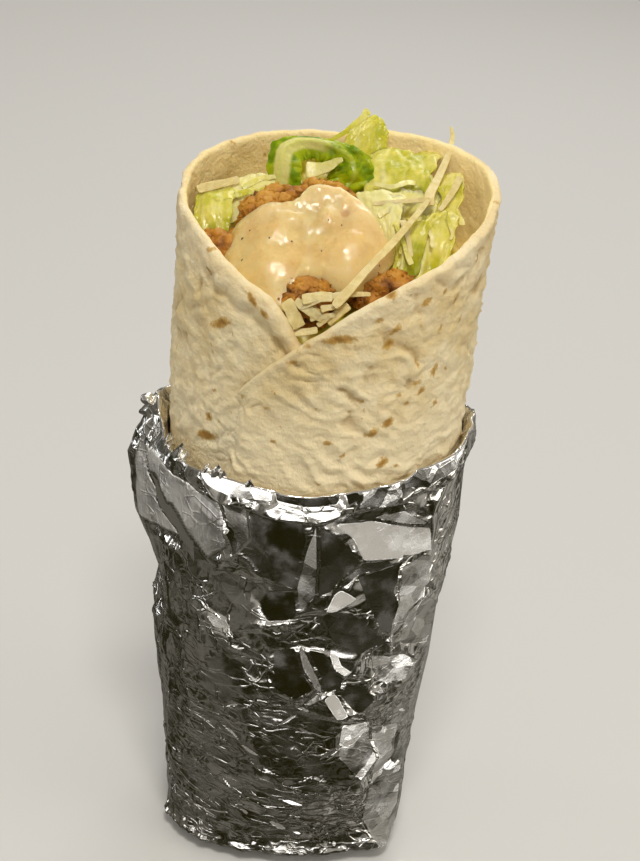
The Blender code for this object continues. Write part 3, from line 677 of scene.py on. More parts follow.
foil = {
    "thick": 0.8,
    "slack": 0.6,                  # room between tortilla and foil
    "columns": 384,
    "wallHeight": 125,
    "rowHeight": 0.6,
    "rim": (                       # angle and height of the top edge
        (-180, 129), (-125, 129), (-104, 129.5), (-93, 132.5), (-82, 129.5), (-67, 127.5), (-40, 128.5),
        (0, 129), (30, 132.5), (62, 134), (74, 135), (86, 138.5), (97, 134), (120, 130), (180, 129),
    ),
    "seamAngle": -92,
    "seamBulge": (                 # height and depth
        (66, 0), (80, 1), (87, 2.6), (99, 5.6), (114, 8.2), (121, 6.4), (127, 3.6), (133, 1.6),
    ),
    "bandHeight": 7.0,
    "colour": (0.91, 0.885, 0.835, 1.0),
    "tilts": ((13.0, 0.175), (6.0, 0.175), (2.8, 0.08)),   # size and turn of the finish's facets
    "lines": ((11.0, 1.1), (5.2, 0.9)),     # spacing and height of the finish's fine creases
    "slantingLines": (18.0, 10.0),          # and the spacing of the slanting ones low down
    "calm": (                      # smoother parts: angle, height, half width, half height and strength
        (4, 108, 40, 15, 1), (-66, 100, 28, 32, 0.75), (-62, 60, 24, 34, 0.6), (62, 90, 24, 40, 0.5),
        (-28, 52, 9, 26, 0.6), (-4, 42, 34, 34, 0.55),
    ),
    "dullFirmness": 0.45,          # what marks a panel as a dull sheet
    "panelGap": 0.45,              # half the crease between panels that meet
    # flat facets: the way they face (rightward and upward, in degrees), firmness, corners
    "panels": (
        (-5, 5, 1, (-20.5, 122), (-1.5, 121.4), (0.8, 116.4), (-1.8, 101.2), (-8.5, 103.2), (-12, 110.6),
         (-18.5, 113.8)),
        (2, 5, 1, (5.5, 120.2), (12.2, 117.2), (20.8, 109.8), (13.5, 101), (6.8, 99.4), (6, 111)),
        (0, 10.5, 1, (3.8, 120), (6.2, 108.6), (6.2, 99.8), (0.5, 94.4), (-1, 102), (1, 112.2)),
        (-1, 26, 1, (14.2, 101.8), (21.2, 98.2), (12.2, 93.8), (10.2, 94.6)),
        (6, 24, 0.75, (11, 120.8), (24.2, 121.6), (48, 116.2), (49.2, 106.4), (22.2, 109.8), (18, 116.2)),
        (6, 11.5, 1, (13.5, 121.6), (36, 123.2), (49.8, 116.2), (24.2, 121.6)),
        (4, 9.5, 1, (49.2, 106.4), (39.2, 108.4), (21.2, 104.8), (13.5, 100.4), (12, 101.4),
         (22.2, 109.8)),
        (2, 6, 1, (21.2, 104), (39.2, 108), (38.5, 103), (36, 98.4), (40, 92), (36.5, 85), (32.8, 85.8),
         (26.5, 95.2)),
        (14, 15, 0.7, (39.5, 103.4), (51, 105.6), (55.8, 103.8), (55.2, 93), (48, 89.8), (41, 83.8),
         (36.2, 81.8), (40.2, 92)),
        (-1, 5, 0.9, (9.2, 92), (12.2, 93.6), (20, 93.4), (31.8, 86), (36.5, 80.4), (25, 80.2),
         (14.8, 84.2)),
        (-3, 6, 0.9, (-10.8, 99.2), (-1.5, 100.4), (0.5, 94.2), (-2, 91.6), (-10, 90.2), (-13, 94)),
        (-1, 29, 1, (12.2, 67), (17.2, 67.8), (23.8, 58.6), (19.2, 58.4)),
        (0, 13.5, 1, (1.2, 83.6), (3.5, 82.4), (10.8, 72.6), (13.2, 66.8), (10.2, 69), (3.5, 76.6)),
        (-2, 7, 0.9, (-7, 80.6), (0.8, 82.2), (3.5, 75.8), (8.5, 69), (2.5, 65.8), (-5.2, 68.4)),
        (1, 7, 0.9, (5.2, 81.8), (11.5, 81), (14.5, 76), (20.2, 72.2), (19, 67.2), (13.2, 68.4),
         (11.2, 72.6)),
        (2, 7, 0.9, (21.5, 70.4), (28.8, 68.4), (33.8, 63), (28.2, 59.4), (24.8, 61.4), (19, 66.8)),
        (-10, 24, 1, (-34.8, 85.6), (-27, 86.2), (-23.8, 84.2), (-31, 83.4)),
        (-14, 7.2, 0.45, (-79.5, 121.2), (-69.5, 123.8), (-52.5, 123.4), (-44.2, 124), (-33.5, 120.4),
         (-28.5, 113.6), (-29, 107.8), (-36.8, 102.6), (-44.2, 106.6), (-59.2, 112.2), (-73.8, 115.4)),
        (-16, 8.2, 0.45, (-87, 116.4), (-86.5, 124.6), (-80, 121), (-75.8, 115.2), (-70.8, 108.6),
         (-53.5, 103.4), (-76.2, 98.2), (-86.2, 96.8), (-85, 106.2)),
        (-28, 2, 0.8, (-75.5, 114.6), (-73, 115.2), (-58.2, 112), (-44.8, 105.8), (-43.5, 98.4),
         (-52.2, 103.6), (-70, 108.8)),
        (-10, 8.5, 0.5, (-31, 122), (-21, 122), (-19, 114), (-25, 106), (-29, 113)),
        (8, 9, 0.5, (32, 137.4), (46.2, 140), (70.8, 140), (74.8, 136.8), (63.2, 131.2), (45.8, 128.4),
         (34.2, 130.6)),
        (12, 18, 0.5, (36, 51.6), (54.5, 47), (61.5, 35.4), (63.5, 23), (62.2, 8.2), (52.5, 4.6),
         (47, 3.4), (38, 15.8), (41.2, 31.4)),
        (4, 16, 0.6, (22.5, 54.8), (35.2, 53.8), (38, 40.2), (30.8, 34.6), (21.2, 43.8)),
        (6, 15.5, 0.6, (31.2, 77.4), (46.8, 74.8), (57, 69.2), (49.2, 65.8), (34, 69)),
        (14, 15.5, 0.6, (43.5, 89), (54.8, 91.6), (65.8, 86), (61, 74.6), (44.8, 78.6)),
        (3, 25, 0.9, (13.6, 80.6), (16.2, 80.8), (18.2, 77), (22.6, 74.6), (20.2, 73.4), (15.6, 75.6)),
        (-5, 15.5, 0.6, (-41.8, 129.8), (-34.2, 130.8), (-18, 130.6), (-11, 129.8), (-11.5, 127),
         (-21.5, 125.6), (-31.2, 125.8), (-38.2, 127.4)),
        (0, 15, 0.6, (-10.8, 126.6), (-0.5, 126), (9.2, 127.2), (12, 125.6), (6.5, 124), (-3, 124.8)),
        (5, 11.2, 0.6, (17.5, 126.2), (18.8, 131.4), (31, 133.4), (33.5, 129.4), (30, 126.4)),
        (0, 8.5, 0.6, (-18, 130.8), (-6, 130.4), (11.5, 131.6), (10, 128), (-0.5, 126.4), (-10.5, 127.2)),
        (3, 3, 0.9, (12.2, 131.6), (16.2, 132.4), (17.8, 129), (13.8, 128)),
    ),
    "sparks": 46,                  # small bright facets along the bottom fold
    "sparkTilts": (18, 20, 21, 22, 26),
    "slivers": 64,                 # and thin slanting ones up the front
    "sliverTilts": (13, 14, 15, 16, 25),
    "ridges": (                    # raised creases: width and height, then angle and height along them
        (0.44, 0.45, (44.4, 108.7), (32, 107), (20.5, 104.6), (10.1, 94.1)),
        (0.4, 0.42, (0.7, 84.4), (3.3, 78.1), (7.6, 72.3), (12.5, 66.6)),
        (0.36, 0.36, (13.1, 79.8), (15.5, 75.5), (19.6, 73.8)),
        (0.48, 0.42, (-13.3, 58.1), (-7, 57.5), (-0.4, 56.3), (6.1, 55.6)),
        (0.4, 0.36, (-16, 86.8), (-9.4, 89), (-4, 90.7), (0.8, 89.9)),
        (0.32, 0.33, (-11.3, 85.4), (-8.1, 80.1), (-7.9, 74.3)),
        (0.4, 0.36, (-32, 101.3), (-25.5, 101.3), (-21.2, 103.6), (-16, 101.9)),
        (0.4, 0.36, (34.3, 65.5), (41.4, 65.8), (48, 65.2)),
        (0.4, 0.42, (21, 54.7), (31.7, 54.4), (41.2, 54.1)),
        (0.56, 0.54, (-35, 120), (-31.5, 113), (-30, 104), (-38, 92), (-36, 77)),
        (0.48, 0.48, (36, 107), (33.5, 95), (39, 78), (38, 66)),
        (0.4, 0.36, (-30, 110), (-18.5, 107), (-10.2, 99.3)),
        (0.4, 0.42, (-24, 79), (-12, 77), (2, 81.5), (22, 79)),
        (0.32, 0.3, (-22, 61), (-10, 63), (-2.5, 59.6), (8, 62), (17, 60)),
    ),
    "tip": (                       # the twisted tip: places from its end down, each with a radius
        (-45.2, -2, 133, 0.8), (-44.8, -2, 132.5, 1.5), (-43.9, -2, 131.6, 1.7), (-42.9, -2, 130.6, 1.45),
        (-41.9, -2, 129.6, 1.2), (-41.1, -2, 128.4, 1.3), (-40.4, -1, 126.4, 1.6), (-40.2, 0, 123.6, 1.6),
        (-40.2, 0, 122, 0.8),
    ),
    "facets": (                    # width, height and depth of the creased triangles, and a seed
        (15, 21, 1.5, 4), (11, 6.5, 0.65, 5), (4.8, 4.4, 0.36, 6), (2.4, 2.1, 0.04, 7),
    ),
    "creases": ((13.0, 0.55, 0.05, 51), (7.5, 0.35, 0.08, 52)),   # spacing, height, sharpness and seed
    "leftFolds": 0.55,             # depth of the upright folds, and of the slanting ones on the right
    "rightFolds": 0.4,
    "peaks": ((-86, 3.0, 3.2), (86, -1.5, 5)),   # where the rim rises or dips: angle, height and width
    "lowRoll": 2.3,
    "cornerEar": 4.0,
    "sideHollow": 0.9,
    "rimRadius": 0.45,
    "leastOutward": 0.45,          # past the slack
}


def facetField(columns, rows, step, width, height, depth, seed, panels=()):
    # heights at scattered points, joined by flat triangles: the facets of crumpled foil
    across = round(columns * step / width)
    cellWidth = columns / across
    cellHeight = height / foil["rowHeight"]
    up = math.ceil(rows / cellHeight) + 1
    rng = random.Random(seed)
    jitter = [
        [(rng.uniform(0.08, 0.92), rng.uniform(0.08, 0.92), rng.uniform(-1, 1)) for _ in range(across)]
        for _ in range(up + 1)
    ]
    points, heights = [], []
    for j in range(up + 1):
        for i in range(-2, across + 2):
            dx, dy, h = jitter[j][i % across]
            x, y = (i + dx) * cellWidth, (j - 1 + dy) * cellHeight
            u, v = np.array([(x - columns / 2) * step]), np.array([wrap["corner"] + y * foil["rowHeight"]])
            if any(insidePanel(u, v, corners)[0] > -2.0 for _, _, _, *corners in panels):
                continue
            points.append(Vector((x, y)))
            heights.append(h)
    for panel in panels:
        for angle, z in panel[3:]:
            u = angle * perDegree
            points.append(Vector((columns / 2 + u / step, (z - wrap["corner"]) / foil["rowHeight"])))
            heights.append(float(panelHeight(panel, u, z)) / depth)
    verts, _, triangles, origins, _, _ = delaunay_2d_cdt(points, [], [], 0, 1e-5)
    field = np.zeros((rows, columns))
    for triangle in triangles:
        (ax, ay), (bx, by), (cx, cy) = [verts[k] for k in triangle]
        ha, hb, hc = [heights[origins[k][0]] for k in triangle]
        x0, x1 = max(0, math.ceil(min(ax, bx, cx))), min(columns - 1, math.floor(max(ax, bx, cx)))
        y0, y1 = max(0, math.ceil(min(ay, by, cy))), min(rows - 1, math.floor(max(ay, by, cy)))
        if x1 < x0 or y1 < y0:
            continue
        x, y = np.meshgrid(np.arange(x0, x1 + 1), np.arange(y0, y1 + 1))
        area = (by - cy) * (ax - cx) + (cx - bx) * (ay - cy)
        if abs(area) < 1e-9:
            continue
        wa = ((by - cy) * (x - cx) + (cx - bx) * (y - cy)) / area
        wb = ((cy - ay) * (x - cx) + (ax - cx) * (y - cy)) / area
        wc = 1 - wa - wb
        inside = (wa >= -1e-6) & (wb >= -1e-6) & (wc >= -1e-6)
        patch = field[y0:y1 + 1, x0:x1 + 1]
        patch[inside] = (wa * ha + wb * hb + wc * hc)[inside]
    return field


def insidePanel(u, v, corners):           # how far each point lies inside a panel, negative outside
    corners = [(a * perDegree, z) for a, z in corners]
    inside = np.zeros(u.shape, bool)
    nearest = np.full(u.shape, 99.0)
    for (ax, ay), (bx, by) in zip(corners, corners[1:] + corners[:1]):
        crossed = ((ay > v) != (by > v)) & (u < (bx - ax) * (v - ay) / (by - ay + 1e-9) + ax)
        inside ^= crossed
        nearest = np.minimum(nearest, distanceToLine(u, v, (ax, ay), (bx, by)))
    return np.where(inside, nearest, -nearest)


def distanceToLine(u, v, start, end):
    run, rise = end[0] - start[0], end[1] - start[1]
    share = np.clip(((u - start[0]) * run + (v - start[1]) * rise) / (run * run + rise * rise), 0, 1)
    return np.hypot(u - start[0] - share * run, v - start[1] - share * rise)


def panelHeight(panel, u, v):             # how far a large facet's plane stands out
    right, up, _, *corners = panel
    middle = np.mean(corners, axis=0)
    slope = [0.35 * math.tan(math.radians(turn)) for turn in (np.clip(right - middle[0], -25, 25), up)]
    u, v = u - middle[0] * perDegree, v - middle[1]
    return 0.3 - slope[0] * u - slope[1] * v


def listPanels():                         # the large facets, the slivers, and sparks along the bottom fold
    rng = random.Random(17)
    panels = []
    for _ in range(foil["slivers"]):
        across = rng.random() ** 0.75
        angle, z = -24 + 82 * across, rng.uniform(9, 62 + 12 * across)
        middle = np.array([angle * perDegree]), np.array([z])
        turn = math.radians(rng.choice((-55, -40, -25, -12, 20, 35)) + rng.uniform(-10, 10))
        length, width = rng.uniform(1.6, 3.8), rng.uniform(0.4, 0.8)
        corners = []
        for along, aside in ((-1, 0), (-0.2, 1), (0.9, 0.5), (1.1, -0.2), (0.2, -1)):
            x = along * length * math.cos(turn) - aside * width * math.sin(turn)
            y = along * length * math.sin(turn) + aside * width * math.cos(turn)
            corners.append((angle + x / perDegree, z + y))
        sliver = (rng.uniform(-8, 12), rng.choice(foil["sliverTilts"]), 1.0, *corners)
        if not any(insidePanel(*middle, edge)[0] > -1.5 for _, _, _, *edge in foil["panels"]):
            panels.append(sliver)
    panels += foil["panels"]
    for number in range(foil["sparks"]):
        angle = -66 + 100 * (number + rng.uniform(-0.4, 0.4)) / foil["sparks"]
        z = rng.uniform(2.5, 8.0)
        turn, half = rng.uniform(0, math.pi), rng.uniform(0.7, 1.5)
        corners = []
        for corner in (0, 1.9, 3.6, 5.0):
            height = half * rng.uniform(0.5, 1.1) * math.sin(turn + corner)
            corners.append((angle + 1.4 * half * math.cos(turn + corner), z + height))
        panels.append((rng.uniform(-14, 8), rng.choice(foil["sparkTilts"]), 1.0, *corners))
    return panels


def layPanels(u, v):                      # how far inside a facet each point lies, its facing and firmness
    inside, second = np.full(u.shape, -9.0), np.full(u.shape, -9.0)
    facing = np.zeros((*u.shape, 3))
    firm = np.zeros(u.shape)
    for right, up, firmness, *corners in listPanels():
        reach = insidePanel(u, v, corners)
        taken = reach > inside
        across, tilt = math.radians(right), math.radians(up)
        level = math.cos(tilt)
        facing[taken] = math.sin(across) * level, -math.cos(across) * level, math.sin(tilt)
        firm[taken] = firmness
        second = np.where(taken, inside, np.maximum(second, reach))
        inside = np.maximum(inside, reach)
    return np.minimum(inside, (inside - second) / 2 - foil["panelGap"]), facing, firm


def layRidges(crumple, u, v):             # raised creases
    u = u + 0.35 * noise2(u / 4, v / 4, 111)
    for width, height, *places in foil["ridges"]:
        line = [(a * perDegree, z) for a, z in places]
        away = np.full(u.shape, 99.0)
        for start, end in zip(line[:-1], line[1:]):
            away = np.minimum(away, distanceToLine(u, v, start, end))
        crumple = crumple + height * np.maximum(0, 1 - away / width / 2)
    return crumple


def calmness(angle, z):
    calm = np.zeros(z.shape)
    for middle, height, halfWidth, halfHeight, strength in foil["calm"]:
        reach = ((angle - middle) / halfWidth) ** 2 + ((z - height) / halfHeight) ** 2
        calm = np.maximum(calm, strength * (1 - smoothStep(0.55, 1.15, reach)))
    return calm


def seamBulge(angle, z):
    width = 15 - 5 * smoothStep(105, 132, z)
    return readTable(foil["seamBulge"], z) * hump(angle, foil["seamAngle"], width)


def lowRoll(angle, z):                   # the thick fold where the wall meets the base
    reach = smoothStep(-78, -62, angle) * (1 - smoothStep(24, 40, angle))
    return foil["lowRoll"] * hump(z, 3.6, 3.2) * reach * (1 + 0.6 * noise2(angle / 7, z / 5, 131))


def cornerEar(angle, z):                 # the folded corner at the front right of the bottom
    return foil["cornerEar"] * hump(angle, 48, 13) * (1 - smoothStep(2, 17, z))


def sideHollow(angle, z):                # the right side draws in above the corner
    across = foil["sideHollow"] * smoothStep(60, 80, angle) * (1 - smoothStep(105, 130, angle))
    return across * smoothStep(12, 24, z) * (1 - smoothStep(66, 84, z))


def crumpleWall(angle, z, base, step):   # how far the wall is crumpled outward, and what its finish reads
    f = foil
    rows, columns = z.shape
    arc = angle * perDegree
    across = arc[None, :] + 0 * z
    calm = np.maximum(calmness(angle[None, :] + 0 * z, z), 0.5 * smoothStep(0.1, -0.5, noise3(base, 17, 30)))
    inside, facing, firm = layPanels(across, z)
    flat = smoothStep(-0.6, 0.2, inside) * firm

    # facets at four sizes, the widest with the flat panels in it
    wide, *fine = f["facets"]
    crumple = wide[2] * facetField(columns, rows, step, *wide, f["panels"])
    for width, height, depth, seed in fine:
        field = facetField(columns, rows, step, width, height, depth, seed)
        share = 1 - 0.85 * calm if width < 6 else 1 - 0.5 * calm
        crumple += depth * share * (1 - 0.93 * flat) * field

    # raised crease lines that cross and break off
    warped = base + 1.8 * noiseVectors(base, 8, 31) + 0.5 * noiseVectors(base, 2.8, 34)
    for size, depth, sharpness, seed in f["creases"]:
        crossing = np.abs(noise3(warped * np.array([1, 1, 1.35]), size, seed))
        broken = smoothStep(-0.15, 0.4, noise3(base, 12, seed + 3))
        crumple += depth * broken * (1 - flat) * np.exp(-crossing / sharpness)

    # the left side hangs in upright folds, the right in slanting ones
    front = (1 - smoothStep(140, 170, np.abs(angle)))[None, :]
    leftSide = smoothStep(28, 52, -angle)[None, :] * front
    rightSide = smoothStep(34, 56, angle)[None, :] * front
    upright = noise3(warped * np.array([1, 1, 0.16]), 2.6, 61)
    slant = noise2((arc - z * 0.55) / 2.4, (arc * 0.55 + z) / 14, 62)
    folds = f["leftFolds"] * upright * leftSide + f["rightFolds"] * slant * rightSide
    crumple += folds * (1 - flat)
    return layRidges(crumple, across, z), calm, flat, inside, facing, firm


def foldBand(angle, base, below):        # where the doubled band along the rim lies, and its shape
    f = foil
    band = 1 - smoothStep(f["bandHeight"] - 1.2, f["bandHeight"], below)
    pleats = 0.35 * noise3(base * np.array([1, 1, 0.3]), 2.2, 71)
    slope = 0.30 - 0.14 * smoothStep(6, 24, angle)[None, :]
    slope = slope + 0.14 * noise3(base * np.array([1, 1, 0.6]), 6, 72)
    return band, 0.5 + slope * np.clip(below, 0, f["bandHeight"]) + pleats


def foldBase(angle, outward):            # rings from the middle of the flat base out, and up its corner
    corners = np.array([4.1, 2.7, 1.5, 0.6, 0.1])[:, None] * np.ones(len(angle))
    lowWall = wallPoints(angle, corners, outward * (0.75 + 0.05 * corners), aboveBase=corners)
    ground = np.zeros(len(angle))
    edge = wallPoints(angle, ground, outward * 0.75, aboveBase=ground)
    discs = []
    for spoke in np.linspace(0, 1, 14)[1:]:
        disc = edge * spoke
        lift = 0.5 * np.abs(noise3(disc, 7, 91)) + 0.25 * np.abs(noise3(disc, 2.5, 92))
        disc[:, 2] = lift * (1 - smoothStep(0.75, 0.95, spoke))
        discs.append(disc)
    return [discs[0] * 0.02] + discs + list(lowWall[::-1])


def lineInside(angle, rim, outward):     # rings over the rim, down the inside and across its floor
    f = foil
    lap = lapLift(angle)
    rings = []
    for turn in np.radians((50, 90, 130)):
        roll = f["rimRadius"] * (1 - math.cos(turn))
        rings.append(wallPoints(angle, rim + f["rimRadius"] * math.sin(turn), outward - roll))
    for depth in (0.0, 1.0, 3.0, 8.0, 30.0, 80.0):
        back = outward - 0.95 - 0.3 * depth
        if depth > 2:
            back = np.minimum(outward - 0.9, f["slack"] + 0.15 + lap)
        rings.append(wallPoints(angle, rim - depth, np.maximum(back, f["slack"] + 0.1 + lap)))
    for height in (wrap["corner"] + 1.5, 1.5, 0.3):
        level = np.full(len(angle), height)
        rings.append(wallPoints(angle, f["thick"] + level, f["slack"] + lap, aboveBase=level))
    centre = rings[-1] * 0.02
    centre[:, 2] = f["thick"] + 0.3
    return rings + [centre]


def makeFoil():
    f = foil
    columns, rows = f["columns"], round(f["wallHeight"] / f["rowHeight"])
    angle = -180 + 360 * np.arange(columns) / columns
    rim = readSoftly(f["rim"], angle, 3) + 0.5 * noise3(wallPoints(angle, 130), 5, 21)
    for middle, height, width in f["peaks"]:
        rim = rim + height * hump(angle, middle, width)
    z = wrap["corner"] + (rim[None, :] - wrap["corner"]) * np.linspace(0, 1, rows)[:, None]
    base = wallPoints(angle, z)
    step = 360 / columns * perDegree
    crumple, calm, flat, inside, facing, firm = crumpleWall(angle, z, base, step)
    band, bandShape = foldBand(angle, base, rim[None, :] - z)
    crumple = crumple * (1 - 0.4 * band) + band * bandShape

    fold = seamBulge(angle, z)
    zigzag = np.abs((angle[None, :] / 5.0 + 0.35 * noise3(base, 12, 81)) % 2 - 1) - 0.5
    pinch = 1 + 0.28 * zigzag * smoothStep(1, 3, fold)
    lap = lapLift(angle)
    outward = f["slack"] + f["thick"] + 0.5 + lap + fold * pinch + cornerEar(angle, z) + lowRoll(angle, z)
    outward = outward + crumple - sideHollow(angle, z)
    wall = wallPoints(angle, z, np.maximum(outward, f["slack"] + f["leastOutward"] + lap))

    below = foldBase(angle, outward[0])
    rings = below + list(wall) + lineInside(angle, rim, outward[-1])

    def overWall(values):                # nothing on the base and the inside
        whole = np.zeros((len(rings), *values.shape[1:]))
        whole[len(below):len(below) + rows] = values
        return whole

    looks = {
        "calm": overWall(np.maximum(np.clip(calm, 0, 1) * (1 - band), flat)),
        "flatness": overWall(np.clip(0.5 + inside / 3, 0, 1)),
        "dull": overWall(smoothStep(-0.2, 0.4, inside) * (firm == f["dullFirmness"])),
    }
    obj = addGrid("foilWrap", np.stack(rings), closeColumns=True, **looks)
    setVectors(obj, "facing", overWall(facing))
    return closeUp(obj)


def makeFoilFinish():
    f = Finish("crumpledFoil", Metallic=1.0, Base_Color=foil["colour"])
    calm, dull = f.attribute("calm"), f.attribute("dull")
    lively = 1 - calm
    squashed = f.node("ShaderNodeMapping", {}, {"Vector": f.place, "Scale": (1.0, 1.0, 1.35)})
    bent = f.warped(9, 4.0, squashed)

    # flat panels face their own way, and the rest turns with cells of a few sizes
    flat = f.step(f.attribute("flatness"), 0.46, 0.54)
    facing = f.node("ShaderNodeAttribute", {"attribute_name": "facing"}, output="Vector")
    crumpled = f.vectors("SCALE", f.node("ShaderNodeNewGeometry", output="Normal"), scale=1 - flat)
    normal = f.vectors("ADD", crumpled, f.vectors("SCALE", facing, scale=flat))
    for size, tilt in foil["tilts"]:
        facet = f.vectors("SUBTRACT", f.cells(size, place=bent, output="Color"), (0.5, 0.5, 0.5))
        share = lively * tilt if size < 8 else (1 - 0.7 * calm) * tilt
        normal = f.vectors("ADD", normal, f.vectors("SCALE", facet, scale=share))
    normal = f.vectors("NORMALIZE", normal)

    # fine creases along the borders of cells, slanting ones low down, and upright streaks on dull sheets
    relief = 0.0
    for size, height in foil["lines"]:
        gap = f.cells(size, "DISTANCE_TO_EDGE", bent)
        relief = relief + (1 - f.step(gap, 0.0, 0.42 / size)) * height * f.patches(size * 1.5, 1, 0.42, 0.60)
    slanting = {"Vector": bent, "Rotation": (0.0, 0.35, 0.0), "Scale": (1.0, 1.0, 0.42)}
    slanting = f.node("ShaderNodeMapping", {"vector_type": "TEXTURE"}, slanting)
    low = 1 - f.step(f.position("Z"), 0.050, 0.085)
    for size in foil["slantingLines"]:
        away = abs(f.grain(size, 1, slanting) - 0.5)
        relief = relief + (1 - f.step(away, 0.0, 0.05)) * 1.1 * low * f.patches(size, 1, 0.38, 0.54)
    relief = relief * (0.35 + 0.65 * lively) * (1 - flat * (0.94 - 0.6 * dull))
    upright = {"Vector": f.place, "Rotation": (0.0, 0.25, 0.0), "Scale": (1.0, 1.0, 0.16)}
    streaks = f.grain(2.6, 3, f.node("ShaderNodeMapping", {}, upright))
    relief = relief + dull * 2.2 * streaks
    f.feed("Roughness", 0.12 + 0.16 * f.patches(9, 4, 0.42, 0.66) + 0.24 * dull)
    f.bump(relief + 0.10 * f.grain(0.8, 2), 0.16, 0.9, normal)
    return f.material


foilFinish = makeFoilFinish()
finishPiece(makeFoil(), foilFinish, "foil", "foil")
print("foil crumpled")


# Geometry Nodes, curves and sheets

def bakeModifiers(obj):                  # swaps the mesh for the evaluated one, as a plain mesh
    bpy.context.view_layer.update()
    graph = bpy.context.evaluated_depsgraph_get()
    mesh = bpy.data.meshes.new_from_object(obj.evaluated_get(graph))
    name = obj.name
    made = addObject(name, mesh)
    bpy.data.objects.remove(obj, do_unlink=True)
    made.name = name
    mesh.name = name
    return made


def newTree(name, **numbers):            # a Geometry Nodes tree with a named input for each size
    tree = bpy.data.node_groups.new(name, "GeometryNodeTree")
    tree.interface.new_socket("Geometry", in_out="INPUT", socket_type="NodeSocketGeometry")
    for key, value in numbers.items():
        kind = "NodeSocketInt" if isinstance(value, int) else "NodeSocketFloat"
        tree.interface.new_socket(key, in_out="INPUT", socket_type=kind).default_value = value
    tree.interface.new_socket("Finish", in_out="INPUT", socket_type="NodeSocketMaterial")
    tree.interface.new_socket("Geometry", in_out="OUTPUT", socket_type="NodeSocketGeometry")
    graph = Graph(tree)
    entry = tree.nodes.new("NodeGroupInput")
    inputs = {socket.name: Wire(graph, socket) for socket in entry.outputs if socket.name}
    return graph, inputs


def endTree(graph, wire, finish):        # realised instances, one material
    real = graph.node("GeometryNodeRealizeInstances", {}, {0: wire})
    dressed = graph.node("GeometryNodeSetMaterial", {}, {"Geometry": real, "Material": finish})
    graph.node("NodeGroupOutput", {}, {0: dressed})
    return graph.tree


def growNodes(obj, tree, **values):      # runs a tree on an object and keeps the plain mesh
    modifier = obj.modifiers.new("growth", "NODES")
    modifier.node_group = tree
    for item in tree.interface.items_tree:
        if item.in_out == "INPUT" and item.name in values:
            modifier[item.identifier] = values[item.name]
    return bakeModifiers(obj)


def addCurves(name, paths, radii, tilts):
    data = bpy.data.curves.new(name, "CURVE")
    data.dimensions = "3D"
    data.twist_mode = "Z_UP"
    for path, radius, tilt in zip(paths, radii, tilts):
        spline = data.splines.new("POLY")
        spline.points.add(len(path) - 1)
        spline.points.foreach_set("co", np.array([(*p, 1.0) for p in path]).ravel())
        spline.points.foreach_set("radius", np.asarray(radius, np.float32))
        spline.points.foreach_set("tilt", np.asarray(tilt, np.float32))
    return addObject(name, data)


def smoothPath(points, steps):           # a Catmull-Rom curve through the points
    p = np.array(points, float)
    p = np.concatenate([[2 * p[0] - p[1]], p, [2 * p[-1] - p[-2]]])
    t = np.arange(steps)[:, None] / steps
    parts = []
    for a, b, c, d in zip(p[:-3], p[1:-2], p[2:-1], p[3:]):
        square = (2 * a - 5 * b + 4 * c - d) * t * t
        parts.append(0.5 * (2 * b + (c - a) * t + square + (3 * b - a - 3 * c + d) * t**3))
    return np.concatenate(parts + [p[-2:-1]])


def sheetNormals(grid):                  # the unit normal at each point of a grid
    normal = np.cross(np.gradient(grid, axis=1), np.gradient(grid, axis=0))
    return normal / np.maximum(np.linalg.norm(normal, axis=-1, keepdims=True), 1e-9)


# The foil's torn teeth along its top edge on the left, and the twisted tip of its seam

teeth = {
    "places": (                    # angle and size
        (-63.5, 1.1), (-60, 0.7), (-52.6, 1.3), (-49, 0.8), (-37.6, 0.8), (-33.5, 1.1), (-31, 0.7),
        (-20.6, 0.7),
    ),
    "width": 3.8,
    "height": 3.2,
    "outward": 1.9,
    "seed": 4,
}


def makeTeeth(finish):                   # each point of the curve carries a tooth, sized by its radius
    graph, inputs = newTree("tornTeeth", Width=0.001, Height=0.001, Seed=teeth["seed"])
    half = inputs["Width"] * 0.6
    spike = {"Vertices": 4, "Radius Top": 0.0, "Radius Bottom": half, "Depth": inputs["Height"]}
    tooth = graph.node("GeometryNodeMeshCone", {"fill_type": "NGON"}, spike)
    square = graph.node("GeometryNodeTransform", {}, {"Geometry": tooth, "Rotation": (0, 0, math.pi / 4)})
    thinner = {"Geometry": square, "Scale": (1.0, 0.6, 1.0), "Rotation": (0.18, 0, 0.3)}
    flat = graph.node("GeometryNodeTransform", {}, thinner)
    points = graph.node("GeometryNodeCurveToPoints", {"mode": "EVALUATED"}, {"Curve": inputs["Geometry"]})
    tangent = graph.node("GeometryNodeInputTangent")
    turn = graph.node("FunctionNodeAlignRotationToVector", {"axis": "X"}, {"Vector": tangent})
    size = graph.node("GeometryNodeInputRadius")
    copies = {"Points": points, "Instance": flat, "Rotation": turn, "Scale": size}
    placed = graph.node("GeometryNodeInstanceOnPoints", {}, copies)
    tree = endTree(graph, placed, inputs["Finish"])
    angle, sizes = np.array(teeth["places"]).T
    line = wallPoints(angle, readSoftly(foil["rim"], angle, 3) + 0.4, teeth["outward"] + lapLift(angle))
    curve = addCurves("foilTeeth", [line * mm], [sizes], [np.zeros(len(sizes))])
    return growNodes(curve, tree, Width=teeth["width"] * mm, Height=teeth["height"] * mm, Finish=finish)


def makeTip():
    rows, turns = [], np.linspace(0, 2 * np.pi, 40, endpoint=False)
    for x, y, z, radius in smoothPath(foil["tip"], 7):
        pleats = 1 + 0.16 * np.sin(3 * turns + 0.9 * z) + 0.10 * np.sin(7 * turns - 1.3 * z)
        across, deep = radius * pleats * np.cos(turns), radius * pleats * np.sin(turns)
        rows.append(np.stack([x + 0.85 * across, y + deep, z + 0.45 * across], axis=-1))
    start, end = [row * 0.02 + row.mean(axis=0) * 0.98 for row in (rows[0], rows[-1])]
    grid = np.stack([start] + rows + [end])
    return closeUp(addGrid("foilTip", grid, closeColumns=True, calm=0.6, flatness=0.0))


